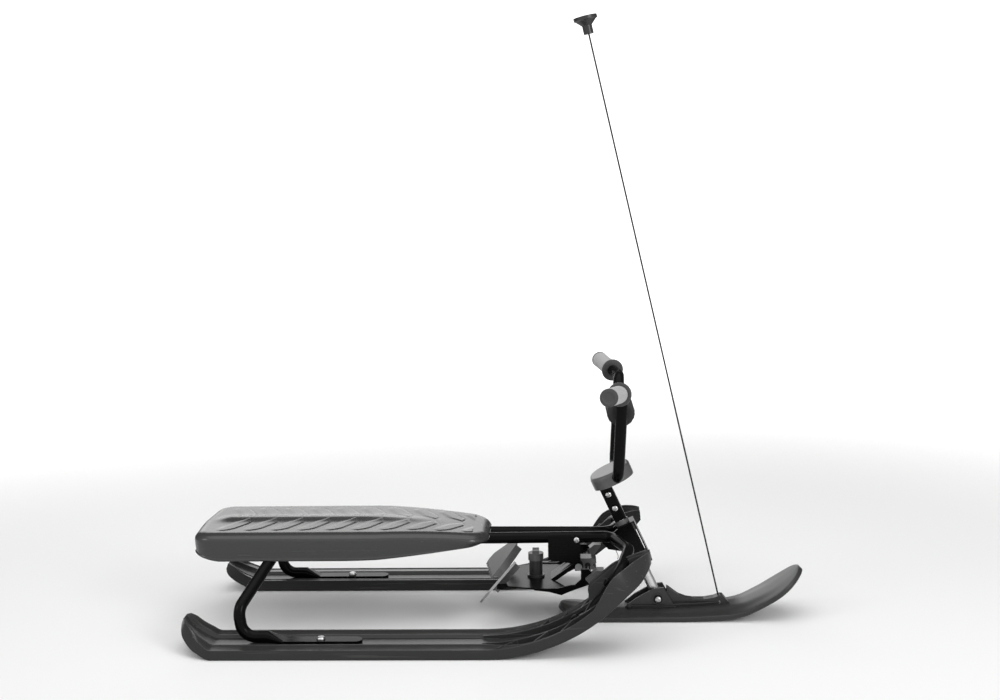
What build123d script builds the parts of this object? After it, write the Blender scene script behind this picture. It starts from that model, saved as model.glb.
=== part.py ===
from build123d import *
import math
import os

os.makedirs("parts", exist_ok=True)

# Steerable sled: two fixed rear skis, a bent tube frame, a moulded seat,
# a raked steering column with a pitching front ski, a foot brake and a tow cord.
# Row frame in mm: +X forward, +Y to the sled's left, +Z up, soles at Z = 0.
# Pieces that come in pairs are drawn on the right side (Y below zero) and mirrored.

# Driving sizes
overall_length = 1180.0
overall_width = 520.0
ski_width = 105.0
tube_r = 11.0
tube_wall = 1.8
run_z = 162.0
rake_deg = 24.6
pivot_x = 307.0
pivot_z = 36.5
run_clearance = 0.05
overrun = 10.0
sides = {"right": -1.0, "left": 1.0}

front_tip_x = overall_length / 2
rear_tail_x = -overall_length / 2
y_outer = -overall_width / 2
y_inner = y_outer + ski_width
rake = math.radians(rake_deg)
axis_up = (-math.sin(rake), 0.0, math.cos(rake))
axis_fore = (math.cos(rake), 0.0, math.sin(rake))


def along_axis(up, fore=0.0, side=0.0):
    """Point in the steering column's own frame, measured from the ski pivot."""
    return (
        pivot_x + up * axis_up[0] + fore * axis_fore[0],
        side,
        pivot_z + up * axis_up[2] + fore * axis_fore[2],
    )


def column_plane(up, fore=0.0):
    """Plane square to the column: its X points forward, its Y to the left."""
    return Plane(origin=along_axis(up, fore), x_dir=axis_fore, z_dir=axis_up)


def spread(shares, low_x, length, low_z, height):
    """Turns pairs of shares into side-view points of a named box."""
    return [(low_x + length * across, low_z + height * rise) for across, rise in shares]


def column_outline(shares, low_up, length, low_fore, depth):
    """Turns (up, fore) shares of a box on the column into side-view points."""
    points = []
    for up_part, fore_part in shares:
        spot = along_axis(low_up + length * up_part, low_fore + depth * fore_part)
        points.append((spot[0], spot[2]))
    return points


def flip(point):
    """The same point on the other side of the sled."""
    return (point[0], -point[1], point[2])


def round_bar(path, bar_r):
    """Round bar along a path."""
    start = Plane(origin=path @ 0, z_dir=path % 0)
    return sweep(start * Circle(bar_r), path=path)


def side_plate(points, y_low, y_high):
    """Plate of a side-view outline (X, Z), from y_low to y_high."""
    face = Plane.XZ * make_face(Polyline(*points, close=True))
    return Pos(0, y_high, 0) * extrude(face, amount=y_high - y_low)


def side_pair(points, y_in, y_out):
    """The same plate on both sides of the sled's middle."""
    return side_plate(points, -y_out, -y_in) + side_plate(points, y_in, y_out)


def cylinder_between(start, end, radius):
    """Round bar from one point to another."""
    run = Vector(*end) - Vector(*start)
    plane = Plane(origin=start, z_dir=run)
    return extrude(plane * Circle(radius), amount=run.length)


def cross_bar(x, z, half, radius):
    """Round bar across the sled, centred on its middle plane."""
    return cylinder_between((x, -half, z), (x, half, z), radius)


def dome_bolt(grip_length, head_r, head_h, shank_r):
    """Bolt along +Z: its domed head sits above Z = 0, its shank runs below."""
    head = extrude(Circle(head_r), amount=head_h)
    head = fillet(head.edges().group_by(Axis.Z)[-1], head_h * dome_share)
    shank = Pos(0, 0, -grip_length) * extrude(Circle(shank_r), amount=grip_length)
    return head + shank


dome_share = 0.8

# Rear ski: two ridged bands with a channel between them; the channel deepens into a trough at the nose
ski_wall = 20.5
channel_floor = 15.5
nose_start_x = -28.0
nose_length = 312.0
nose_radius = 360.0
nose_deg = 39.0
nose_high = 174.0
nose_wall = 44.0
tail_length = 70.0
tail_high = 48.0
tail_wall = 24.0
# Columns: outer wall, outer ridge, inner ridge, inner wall as shares of the wall;
# outer ridge and inner ridge as shares of the width; channel floor as a share of the ski's floor
flat_shares = (0.88, 1.0, 1.0, 1.07, 0.295, 0.78, 1.0)
ridge_step_share = 0.05


def ski_section(x, z, slope_deg, edge_out, edge_in, wall, row):
    """Closed cross-section of the right ski, square to a line of the given slope."""
    wall_out, ridge_out, ridge_in, wall_in, place_out, place_in, floor_part = row
    slope = math.radians(slope_deg)
    span = edge_in - edge_out
    step = ridge_step_share * span
    floor = floor_part * channel_floor
    rows = [
        (edge_out, 0.0),
        (edge_out, wall_out * wall),
        (edge_out + place_out * span, ridge_out * wall),
        (edge_out + place_out * span + step, floor),
        (edge_out + place_in * span - step, floor),
        (edge_out + place_in * span, ridge_in * wall),
        (edge_in, wall_in * wall),
        (edge_in, 0.0),
    ]
    points = [(x - rise * math.sin(slope), y, z + rise * math.cos(slope)) for y, rise in rows]
    return make_face(Polyline(*points, close=True))


def nose_line(x):
    """Height and slope of the sole line on the rising nose."""
    turn = math.radians(nose_deg)
    bend_x = nose_start_x + nose_radius * math.sin(turn)
    bend_z = nose_radius * (1.0 - math.cos(turn))
    if x < bend_x:
        angle = math.asin(max(0.0, x - nose_start_x) / nose_radius)
        return nose_radius * (1.0 - math.cos(angle)), math.degrees(angle)
    return bend_z + (x - bend_x) * math.tan(turn), nose_deg


# Columns: place along the nose, outer edge and inner edge moved in (shares of the width),
# then the section's shares of the nose wall
nose_shares = [
    (0.0, 0.0, 0.0, (0.41, 0.466, 0.466, 0.5, 0.295, 0.78, 1.0)),
    (0.154, 0.0, 0.0, (0.42, 0.46, 0.46, 0.49, 0.17, 0.85, 0.75)),
    (0.282, 0.0, 0.0, (0.43, 0.45, 0.45, 0.48, 0.08, 0.92, 0.6)),
    (0.538, 0.01, 0.0, (0.455, 0.455, 0.455, 0.455, 0.07, 0.93, 0.45)),
    (0.667, 0.035, 0.0, (0.48, 0.455, 0.455, 0.455, 0.07, 0.93, 0.45)),
    (0.692, 0.04, 0.0, (0.5, 0.477, 0.73, 0.77, 0.07, 0.93, 0.45)),
    (0.724, 0.055, 0.0, (0.59, 0.545, 0.9, 0.95, 0.07, 0.92, 0.45)),
    (0.859, 0.2, 0.0, (0.955, 0.89, 0.93, 1.0, 0.08, 0.92, 0.45)),
]
# The tip's sections fan upright. Columns: place, height, lean, edges moved in, shares of the nose wall
tip_shares = [
    (0.929, 0.736, 25.0, 0.41, -0.02, (0.91, 0.82, 0.8, 0.86, 0.1, 0.88, 0.48)),
    (0.974, 0.81, 14.0, 0.66, -0.05, (0.73, 0.64, 0.59, 0.68, 0.16, 0.82, 0.5)),
    (1.0, 0.874, 5.0, 0.85, -0.08, (0.5, 0.39, 0.36, 0.45, 0.25, 0.7, 0.52)),
]
# Columns: place along the tail, height, lean, edges moved in, shares of the tail wall
tail_shares = [
    (0.0, 0.0, 0.0, 0.0, 0.0, (0.75, 0.854, 0.854, 0.917, 0.295, 0.78, 1.0)),
    (0.45, 0.24, -26.0, 0.08, 0.0, (0.8, 0.88, 0.88, 0.93, 0.28, 0.78, 0.95)),
    (0.84, 0.6, -34.0, 0.36, 0.0, (1.0, 0.92, 0.92, 1.0, 0.24, 0.8, 0.85)),
    (1.0, 0.92, -14.0, 0.74, 0.03, (0.8, 0.7, 0.7, 0.8, 0.2, 0.8, 0.7)),
]
tail_start_x = rear_tail_x + tail_length
middle_face = ski_section(tail_start_x, 0.0, 0.0, y_outer, y_inner, ski_wall, flat_shares)
middle = extrude(middle_face, amount=nose_start_x - tail_start_x, dir=(1, 0, 0))
nose_faces = []
for place, out_part, in_part, row in nose_shares:
    x = nose_start_x + place * nose_length
    z, slope = nose_line(x)
    edge_out = y_outer + out_part * ski_width
    edge_in = y_inner - in_part * ski_width
    nose_faces.append(ski_section(x, z, slope, edge_out, edge_in, nose_wall, row))
for place, height, lean, out_part, in_part, row in tip_shares:
    x = nose_start_x + place * nose_length
    edge_out = y_outer + out_part * ski_width
    edge_in = y_inner - in_part * ski_width
    nose_faces.append(ski_section(x, height * nose_high, lean, edge_out, edge_in, nose_wall, row))
tail_faces = []
for place, height, lean, out_part, in_part, row in tail_shares:
    x = tail_start_x - place * tail_length
    edge_out = y_outer + out_part * ski_width
    edge_in = y_inner - in_part * ski_width
    tail_faces.append(ski_section(x, height * tail_high, lean, edge_out, edge_in, tail_wall, row))
right_ski = middle + loft(nose_faces, ruled=True) + loft(tail_faces, ruled=True)

# Guide rails and slanted ribs in the nose trough: the tube's toe lies between the rails
guide_thick = 3.0
guide_high = 20.5
guide_low = 4.0
guide_end_x = 196.0
guide_steps = 9
guide_shares = (0.34, 0.73)
wall_bite = 4.0
slant_gauge = 3.5
# Columns: the rib's end at the wall and at the rail, as shares of the nose length
outer_rib_shares = [(0.09, 0.213), (0.314, 0.4), (0.481, 0.554)]
inner_rib_shares = [(0.412, 0.354), (0.529, 0.49), (0.66, 0.612)]


def above_nose(x, rise):
    """Side-view point that stands square above the nose's sole line."""
    z, slope = nose_line(x)
    turn = math.radians(slope)
    return (x - rise * math.sin(turn), z + rise * math.cos(turn))


def upright_plate(corners):
    """Upright plate over a plan outline, tall enough for the whole nose."""
    return extrude(make_face(Polyline(*corners, close=True)), amount=nose_high)


guide_run = guide_end_x - nose_start_x
guide_xs = [nose_start_x + guide_run * step / guide_steps for step in range(guide_steps + 1)]
guide_band = [above_nose(x, guide_high) for x in guide_xs]
guide_band += [above_nose(x, guide_low) for x in reversed(guide_xs)]
guide_ys = [y_outer + share * ski_width for share in guide_shares]
lattice = Part()
for y in guide_ys:
    lattice += upright_plate(
        [
            (nose_start_x, y - guide_thick / 2),
            (guide_end_x, y - guide_thick / 2),
            (guide_end_x, y + guide_thick / 2),
            (nose_start_x, y + guide_thick / 2),
        ]
    )
rib_rows = [(y_outer + wall_bite, guide_ys[0], row) for row in outer_rib_shares]
rib_rows += [(y_inner - wall_bite, guide_ys[1], row) for row in inner_rib_shares]
for wall_y, guide_y, (wall_share, rail_share) in rib_rows:
    wall_x = nose_start_x + wall_share * nose_length
    guide_x = nose_start_x + rail_share * nose_length
    lattice += upright_plate(
        [(wall_x, wall_y), (wall_x + slant_gauge, wall_y), (guide_x + slant_gauge, guide_y), (guide_x, guide_y)]
    )
right_ski += lattice & side_plate(guide_band, y_outer, y_inner)

# Frame tube: from the nose trough up to the head, back under the seat and down to the rear foot
head_half_gap = 17.5
seat_half_gap = 23.0
foot_inset = 56.0
tube_bend = 28.0
foot_thick = 6.0
foot_half_width = 14.0
toe_x = 184.0
toe_bend_x = 196.0
trough_gap = 1.0
nose_lean = 18.0
foot_y = y_outer + foot_inset


def trough_share(x):
    """Share of the channel's floor height that is left at this place along the nose."""
    rows = [(nose_start_x + place * nose_length, row[-1]) for place, out_part, in_part, row in nose_shares]
    for (low_x, low_share), (high_x, high_share) in zip(rows, rows[1:]):
        if x <= high_x:
            return low_share + (high_share - low_share) * (x - low_x) / (high_x - low_x)
    return rows[-1][1]


def in_channel(x):
    """Centre of a tube that lies in the ski's trough at this place."""
    z, slope = nose_line(x)
    lift = trough_share(x) * channel_floor + tube_r - trough_gap
    return (x, foot_y, z + lift / math.cos(math.radians(slope)))


nose_top = (226.0, foot_y + nose_lean, 142.0)
head_side = (246.0, -110.0, run_z)
head_mid = (216.0, -head_half_gap, run_z)
seat_front = (-20.0, -seat_half_gap, run_z)
seat_back = (-345.0, -seat_half_gap, run_z)
leg_top = (-424.0, -78.0, run_z)
leg_knee = (-479.0, foot_y, 78.0)
rear_heel = (-472.0, foot_y, channel_floor + tube_r)
rear_foot = (-425.0, foot_y, channel_floor + tube_r)
tube_corners = [
    in_channel(toe_x),
    in_channel(toe_bend_x),
    nose_top,
    head_side,
    head_mid,
    seat_front,
    seat_back,
    leg_top,
    leg_knee,
    rear_heel,
    rear_foot,
]
tube_path = FilletPolyline(*tube_corners, radius=tube_bend)
tube_outside_right = round_bar(tube_path, tube_r)
tube_outside_left = mirror(tube_outside_right, about=Plane.XZ)
tubes_outside = tube_outside_right + tube_outside_left

# Flattened tube ends that the bolts hold in the ski channels
flare_length = 30.0
flat_corner_share = 0.48
heel_plate_length = 145.0
toe_plate_length = 36.0


def flat_end(start, direction, drop, plate_length):
    """Tube end that flattens over the flare and runs on as a rounded plate."""
    run = Vector(*direction).normalized()
    across = Vector(0, 1, 0)
    root = Plane(origin=start, x_dir=across, z_dir=run)
    neck_at = Vector(*start) + run * flare_length - Vector(0, 0, drop)
    neck = Plane(origin=neck_at, x_dir=across, z_dir=run)
    round_face = root * RectangleRounded(2 * tube_r, 2 * tube_r, 2 * tube_r * flat_corner_share)
    flat_face = neck * RectangleRounded(2 * foot_half_width, foot_thick, foot_thick * flat_corner_share)
    flare = loft([round_face, flat_face])
    rise = run.cross(across)
    top = Plane(origin=neck_at, x_dir=run, z_dir=rise)
    blank = SlotOverall(plate_length + 2 * foot_half_width, 2 * foot_half_width)
    half = Pos(plate_length / 2, 0) * Rectangle(plate_length, 2 * foot_half_width)
    plate_face = top.offset(-foot_thick / 2) * (Pos((plate_length - 2 * foot_half_width) / 2, 0) * blank & half)
    return flare + extrude(plate_face, amount=foot_thick)


heel_end = flat_end(rear_foot, (1.0, 0.0, 0.0), tube_r - foot_thick / 2, heel_plate_length)
toe_start = in_channel(toe_x)
toe_slope = math.radians(nose_line(toe_x - flare_length)[1])
toe_end = flat_end(
    toe_start,
    (-math.cos(toe_slope), 0.0, -math.sin(toe_slope)),
    tube_r - foot_thick / 2,
    toe_plate_length,
)
right_frame_tube = round_bar(tube_path, tube_r) - round_bar(tube_path, tube_r - tube_wall)
right_frame_tube = right_frame_tube + heel_end + toe_end - right_ski

# Dome bolts: through the flattened ends and through the tube on the nose
bolt_r = 4.0
bolt_head_r = 8.0
bolt_head_h = 5.0
bolt_sink = 8.0
heel_bolt_x = -327.0
toe_bolt_back = 16.0
nose_bolt_share = 0.45
nose_bolt_reach = 34.0
heel_bolt_at = (heel_bolt_x, foot_y, channel_floor + foot_thick)
right_heel_bolt = Pos(*heel_bolt_at) * dome_bolt(foot_thick + bolt_sink, bolt_head_r, bolt_head_h, bolt_r)
toe_run = Vector(-math.cos(toe_slope), 0, -math.sin(toe_slope))
toe_rise = Vector(-math.sin(toe_slope), 0, math.cos(toe_slope))
toe_bolt_at = Vector(*toe_start) + toe_run * (flare_length + toe_bolt_back)
toe_bolt_at = toe_bolt_at - Vector(0, 0, tube_r - foot_thick / 2) + toe_rise * (foot_thick / 2)
toe_bolt_plane = Plane(origin=toe_bolt_at, x_dir=(0, 1, 0), z_dir=toe_rise)
right_toe_bolt = toe_bolt_plane * dome_bolt(foot_thick + bolt_sink, bolt_head_r, bolt_head_h, bolt_r)
nose_low = Vector(*in_channel(toe_bend_x))
nose_run = Vector(*nose_top) - nose_low
nose_bolt_rise = Vector(-nose_run.Z, 0, nose_run.X).normalized()
nose_bolt_at = nose_low + nose_run * nose_bolt_share
nose_bolt_at = nose_bolt_at + nose_bolt_rise * (tube_r - tube_wall / 2)
nose_bolt_plane = Plane(origin=nose_bolt_at, x_dir=(0, 1, 0), z_dir=nose_bolt_rise)
right_nose_bolt = nose_bolt_plane * dome_bolt(nose_bolt_reach, bolt_head_r, bolt_head_h, bolt_r)
for bolt in (right_heel_bolt, right_toe_bolt, right_nose_bolt):
    right_frame_tube = right_frame_tube - bolt
    right_ski = right_ski - bolt

# Seat: a moulded shell with a rolled shoulder, a deep skirt, a spine and slanted pads
seat_rear_x = -586.0
seat_front_x = -20.0
seat_half_rear = 121.0
seat_half_front = 86.0
seat_top = 197.0
seat_low = 140.0
seat_corner = 48.0
seat_roll = 14.0
seat_wall = 4.0
seat_waist_x = -230.0
seat_fall_x = -260.0
seat_fall_radius = 1824.0
seat_length = seat_front_x - seat_rear_x
seat_deep = seat_top - seat_low
plan_points = [
    (seat_rear_x, -seat_half_rear),
    (seat_waist_x, -seat_half_rear),
    (seat_front_x, -seat_half_front),
    (seat_front_x, seat_half_front),
    (seat_waist_x, seat_half_rear),
    (seat_rear_x, seat_half_rear),
]
plan = fillet(make_face(Polyline(*plan_points, close=True)).vertices(), seat_corner)


def seat_profile(lift):
    """Side view of the seat's body, level at the back and falling towards the front."""
    top = seat_top + lift
    far_x = seat_front_x + overrun
    fall = math.asin((far_x - seat_fall_x) / seat_fall_radius)
    far_z = top - seat_fall_radius * (1.0 - math.cos(fall))
    level = Line((seat_rear_x - overrun, top), (seat_fall_x, top))
    falling = TangentArc((seat_fall_x, top), (far_x, far_z), tangent=(1, 0))
    rest = Polyline(
        (far_x, far_z),
        (far_x, seat_low - overrun),
        (seat_rear_x - overrun, seat_low - overrun),
        (seat_rear_x - overrun, top),
    )
    face = Plane.XZ * make_face([level, falling, *rest.edges()])
    return Pos(0, overall_width, 0) * extrude(face, amount=2 * overall_width)


seat_tall = seat_deep + overrun
outer = Pos(0, 0, seat_low) * extrude(plan, amount=seat_tall) & seat_profile(0.0)
outer = fillet(outer.edges().filter_by(lambda edge: edge.center().Z > seat_top - seat_deep / 2), seat_roll)
inner_plan = offset(plan, amount=-seat_wall)
inner = Pos(0, 0, seat_low) * extrude(inner_plan, amount=seat_tall) & seat_profile(-seat_wall)
inner = fillet(inner.edges().filter_by(lambda edge: edge.center().Z > seat_top - seat_deep / 2), seat_roll - seat_wall)
# Skirt line, as shares of the seat's length and depth
skirt_shares = [(-0.06, 0.56), (0.0, 0.36), (0.045, 0.24), (0.1, 0.14), (0.5, 0.14), (0.92, 0.4), (1.02, 0.62), (1.06, 0.8)]
skirt_points = spread(skirt_shares, seat_rear_x, seat_length, seat_low, seat_deep)
skirt_low = seat_low - overrun
under_points = skirt_points + [(skirt_points[-1][0], skirt_low), (skirt_points[0][0], skirt_low)]
seat_shell = outer - inner - side_plate(under_points, -overall_width, overall_width)

# Ribs that carry the seat on the tubes
rib_width = 14.0
rib_drop = 29.0
rib_rear_x = -545.0
rib_front_x = -50.0
rib = Box(rib_front_x - rib_rear_x, rib_width, rib_drop)
rib_x = (rib_front_x + rib_rear_x) / 2
rib_z = seat_top - rib_drop / 2
ribs = Pos(rib_x, -seat_half_gap, rib_z) * rib + Pos(rib_x, seat_half_gap, rib_z) * rib
seat_shell += ribs & seat_profile(-seat_wall / 2)

# Spine and slanted pads on top
spine_half = 9.0
spine_height = 5.0
spine_rear_x = -560.0
spine_front_x = -124.0
spine_x = (spine_rear_x + spine_front_x) / 2
pad_count = 10
pad_pitch = 50.0
pad_first_x = -510.0
pad_length = 112.0
pad_width = 34.0
pad_height = 2.5
pad_angle = 55.0
pad_mid_y = 58.0
pad_border = 20.0
raised_low = seat_top - seat_deep / 2
spine_plan = SlotOverall(spine_front_x - spine_rear_x, 2 * spine_half)
spine = Pos(spine_x, 0, raised_low) * extrude(spine_plan, amount=seat_deep) & seat_profile(spine_height)
pad_field = offset(plan, amount=-pad_border)
spine_keep = Rectangle(overall_length, 4 * spine_half)
for index in range(pad_count):
    for side in sides.values():
        spot = Pos(pad_first_x + index * pad_pitch, side * pad_mid_y, 0) * Rot(0, 0, -side * pad_angle)
        leaf = (spot * SlotOverall(pad_length, pad_width)) & pad_field
        pad = Pos(0, 0, raised_low) * extrude(leaf - spine_keep, amount=seat_deep) & seat_profile(pad_height)
        seat_shell += pad - inner
seat_shell += spine - inner

# Rails and a front plate between the tubes and the seat
rail_thick = 4.0
rail_half = 12.0
rail_seat = 1.0
rail_rear_x = -540.0
rail_front_x = -240.0
tie_x = -500.0
tie_width = 30.0
front_plate_x = -48.0
front_plate_length = 40.0
front_plate_half = 38.0
rail_z = run_z + tube_r - rail_seat + rail_thick / 2
rail_blank = Box(rail_front_x - rail_rear_x, 2 * rail_half, rail_thick)
rail_x = (rail_front_x + rail_rear_x) / 2
rails = Pos(tie_x, 0, rail_z) * Box(tie_width, 2 * (seat_half_gap + rail_half), rail_thick)
for side in sides.values():
    rails += Pos(rail_x, side * seat_half_gap, rail_z) * rail_blank
front_plate = Pos(front_plate_x, 0, rail_z) * Box(front_plate_length, 2 * front_plate_half, rail_thick)
rails = rails - tubes_outside
front_plate = front_plate - tubes_outside
seat_shell = seat_shell - rails - front_plate - tubes_outside

# Head bracket: two side plates and a bent strap between the tubes and the steering bushes
shaft_r = 10.0
plate_in = 16.0
plate_thick = 3.0
head_low = 78.0
head_high = 160.0
bush_rear = -12.0
strap_fore = 20.5
strap_thick = 2.5
bush_length = 16.0
gusset_back = -52.0
plate_fore = 17.0
collar_r = 14.0
collar_high = 8.0
strap_gap = 1.5
head_length = head_high - head_low
# Plate outline, as (up, fore) shares of the head's length and depth
plate_shares = [(0.0, 0.58), (0.0, 1.0), (1.0, 1.0), (1.0, 0.55), (0.88, 0.0), (0.65, 0.09), (0.41, 0.52)]
plate_points = column_outline(plate_shares, head_low, head_length, gusset_back, plate_fore - gusset_back)
plate_out = plate_in + plate_thick
head_bracket = side_pair(plate_points, plate_in, plate_out)
whole_shares = [(0.0, 0.0), (0.0, 1.0), (1.0, 1.0), (1.0, 0.0)]
strap_low = head_low - strap_thick
strap_length = head_length + 2 * strap_thick
strap_depth = strap_fore + strap_thick - bush_rear
strap_box = column_outline(whole_shares, strap_low, strap_length, bush_rear, strap_depth)
strap_room = column_outline(whole_shares, head_low, head_length, bush_rear - overrun, strap_fore - bush_rear + overrun)
strap = side_plate(strap_box, -plate_out, plate_out) - side_plate(strap_room, -overall_width, overall_width)
shaft_low = along_axis(head_low - overrun)
shaft_top = along_axis(head_high + 2 * overrun)
head_bracket = head_bracket + strap - cylinder_between(shaft_low, shaft_top, shaft_r + strap_gap) - tubes_outside
bush_hole = cylinder_between(shaft_low, shaft_top, shaft_r + run_clearance)


def bush(low):
    """Plastic bush block that fills the head bracket from side to side."""
    outline = column_outline(whole_shares, low, bush_length, bush_rear, strap_fore - bush_rear)
    return side_plate(outline, -plate_in, plate_in)


lower_bush = bush(head_low) - bush_hole
collar_low = head_high + strap_thick
upper_bush = bush(head_high - bush_length)
upper_bush += cylinder_between(along_axis(head_high), along_axis(collar_low), shaft_r + strap_gap - run_clearance)
upper_bush += cylinder_between(along_axis(collar_low), along_axis(collar_low + collar_high), collar_r)
upper_bush = upper_bush - bush_hole

# Steering column, cap and shaft
column_size = 24.0
column_corner = 4.0
column_gap = 1.5
column_high = 262.0
cap_low = 249.0
cap_high = 273.0
cap_fore = 21.0
cap_length = 82.0
cap_width = 100.0
cap_corner = 38.0
cap_edge = 7.0
eye_r = 12.0
eye_half = 13.0
pin_r = 5.0
column_low = collar_low + collar_high + column_gap
column_blank = column_plane(column_low) * extrude(
    RectangleRounded(column_size, column_size, column_corner), amount=column_high - column_low
)
column = column_blank - column_plane(column_low) * extrude(Circle(shaft_r), amount=column_high - column_low)
shaft = cylinder_between(along_axis(0.0), along_axis(column_high), shaft_r)
shaft += cross_bar(pivot_x, pivot_z, eye_half, eye_r)
shaft -= cross_bar(pivot_x, pivot_z, 2 * eye_half, pin_r + run_clearance)

# Handlebar: one tube bent to a U, with its ends swept out to the grips
bar_r = 11.0
bar_wall = 1.8
bar_bend = 26.0
leg_low = (228.0, -75.0, 288.0)
leg_high = (237.0, -78.0, 456.0)
grip_bend = (238.0, -112.0, 461.0)
grip_end = (205.0, -243.0, 474.5)
right_corners = [grip_end, grip_bend, leg_high, leg_low]
bar_corners = right_corners + [flip(point) for point in reversed(right_corners)]
bar_path = FilletPolyline(*bar_corners, radius=bar_bend)
bar_outside = round_bar(bar_path, bar_r)
handlebar = bar_outside - round_bar(bar_path, bar_r - bar_wall)
cap = column_plane(cap_low, cap_fore) * extrude(
    RectangleRounded(cap_length, cap_width, cap_corner), amount=cap_high - cap_low
)
cap = fillet(cap.edges().filter_by(GeomType.LINE, reverse=True).group_by(Axis.Z)[-1], cap_edge)
cap = cap - column_blank - bar_outside
crossbar_r = 8.0
crossbar_z = 413.0
pad_r = 27.0
pad_half = 61.0
leg_part = (crossbar_z - leg_low[2]) / (leg_high[2] - leg_low[2])
crossbar_x = leg_low[0] + leg_part * (leg_high[0] - leg_low[0])
crossbar_half = -leg_low[1]
crossbar = cross_bar(crossbar_x, crossbar_z, crossbar_half, crossbar_r) - bar_outside
pad = cross_bar(crossbar_x, crossbar_z, pad_half, pad_r) - cross_bar(crossbar_x, crossbar_z, crossbar_half, crossbar_r)
grip_r = 16.5
grip_cap = 4.0
flange_r = 20.5
flange_thick = 6.0
grip_length = 100.0
grip_dir = (Vector(*grip_end) - Vector(*grip_bend)).normalized()
grip_root = Vector(*grip_end) + grip_dir * (grip_cap - grip_length)
grip_plane = Plane(origin=grip_root, z_dir=grip_dir)
right_grip = extrude(grip_plane * Circle(grip_r), amount=grip_length)
right_grip += extrude(grip_plane * Circle(flange_r), amount=flange_thick)
right_grip -= bar_outside

# Column bolts on the near face
column_bolt_shares = (0.3, 0.64)
column_bolt_r = 6.0
column_bolt_h = 4.0
column_bolts = []
for share in column_bolt_shares:
    spot = along_axis(column_low + share * (column_high - column_low), 0.0, -column_size / 2)
    face = Plane(origin=spot, z_dir=(0, -1, 0)) * Circle(column_bolt_r)
    column_bolts.append(extrude(face, amount=column_bolt_h))

# Front ski: a crowned blade with a small keel edge, rounded in plan at both ends
blade_tail_x = 112.0
blade_half = 56.0
blade_edge = 3.0
blade_crown = 19.0
blade_rise = 91.0
blade_length = front_tip_x - blade_tail_x
# Columns: place along the blade, sole height (share of the rise), lean,
# side wall, shoulder and crown (shares of the crown)
blade_shares = [
    (0.0, 0.175, -25.0, 0.42, 0.53, 0.63),
    (0.06, 0.065, -16.0, 0.5, 0.63, 0.84),
    (0.12, 0.013, -7.0, 0.53, 0.68, 0.97),
    (0.18, 0.0, 0.0, 0.53, 0.68, 1.0),
    (0.5, 0.0, 0.0, 0.53, 0.68, 1.0),
    (0.6, 0.025, 2.5, 0.53, 0.68, 1.0),
    (0.69, 0.053, 5.0, 0.53, 0.68, 0.97),
    (0.732, 0.09, 12.0, 0.53, 0.67, 0.89),
    (0.766, 0.143, 20.0, 0.53, 0.65, 0.82),
    (0.814, 0.264, 28.0, 0.53, 0.61, 0.74),
    (0.877, 0.45, 32.0, 0.53, 0.58, 0.66),
    (0.937, 0.68, 39.0, 0.5, 0.55, 0.6),
    (1.0, 1.0, 47.0, 0.47, 0.5, 0.53),
]
shoulder_share = 0.68
crown_share = 0.34


def blade_section(x, z, lean_deg, side_rise, shoulder_rise, crown_rise):
    """Closed cross-section of the front ski, square to its sole line."""
    lean = math.radians(lean_deg)
    right_rows = [
        (-blade_half + blade_edge, 0.0),
        (-blade_half, blade_edge),
        (-blade_half, side_rise),
        (-blade_half * shoulder_share, shoulder_rise),
        (-blade_half * crown_share, crown_rise),
    ]
    rows = right_rows + [(-y, rise) for y, rise in reversed(right_rows)]
    points = [(x - rise * math.sin(lean), y, z + rise * math.cos(lean)) for y, rise in rows]
    return make_face(Polyline(*points, close=True))


blade_faces = []
for place, height, lean, side_part, shoulder_part, crown_part in blade_shares:
    blade_faces.append(
        blade_section(
            blade_tail_x + place * blade_length,
            height * blade_rise,
            lean,
            side_part * blade_crown,
            shoulder_part * blade_crown,
            crown_part * blade_crown,
        )
    )
blade_plan = Pos(blade_tail_x + blade_length / 2, 0, -overrun) * extrude(
    SlotOverall(blade_length, 2 * blade_half), amount=blade_rise + blade_crown + 2 * overrun
)
front_ski = loft(blade_faces, ruled=True) & blade_plan

# Saddle on the front ski, with cheeks on both sides of the shaft's eye
cheek_in = 14.0
cheek_thick = 5.0
boss_r = 11.0
boss_high = 2.0
saddle_rear_x = 243.0
saddle_front_x = 342.0
saddle_low = 10.0
saddle_high = 59.0
saddle_length = saddle_front_x - saddle_rear_x
saddle_tall = saddle_high - saddle_low
cheek_shares = [(0.0, 0.0), (0.0, 0.22), (0.21, 0.55), (0.57, 0.96), (0.76, 1.0), (0.96, 0.28), (1.0, 0.22), (1.0, 0.0)]
base_shares = [(0.0, 0.0), (0.0, 0.22), (0.39, 0.225), (1.0, 0.225), (1.0, 0.0)]
cheek_points = spread(cheek_shares, saddle_rear_x, saddle_length, saddle_low, saddle_tall)
base_points = spread(base_shares, saddle_rear_x, saddle_length, saddle_low, saddle_tall)
cheek_out = cheek_in + cheek_thick
saddle = side_pair(cheek_points, cheek_in, cheek_out) + side_plate(base_points, -cheek_in, cheek_in)
boss_bar = cross_bar(pivot_x, pivot_z, cheek_out + boss_high, boss_r)
saddle += boss_bar - cross_bar(pivot_x, pivot_z, cheek_in, boss_r)
pin_head_r = 8.0
pin_head_h = 4.0
pin_end = cheek_out + boss_high
pin = cross_bar(pivot_x, pivot_z, pin_end, pin_r)
pin += cross_bar(pivot_x, pivot_z, pin_end + pin_head_h, pin_head_r) - cross_bar(pivot_x, pivot_z, pin_end, pin_head_r)
saddle = saddle - pin - front_ski

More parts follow.
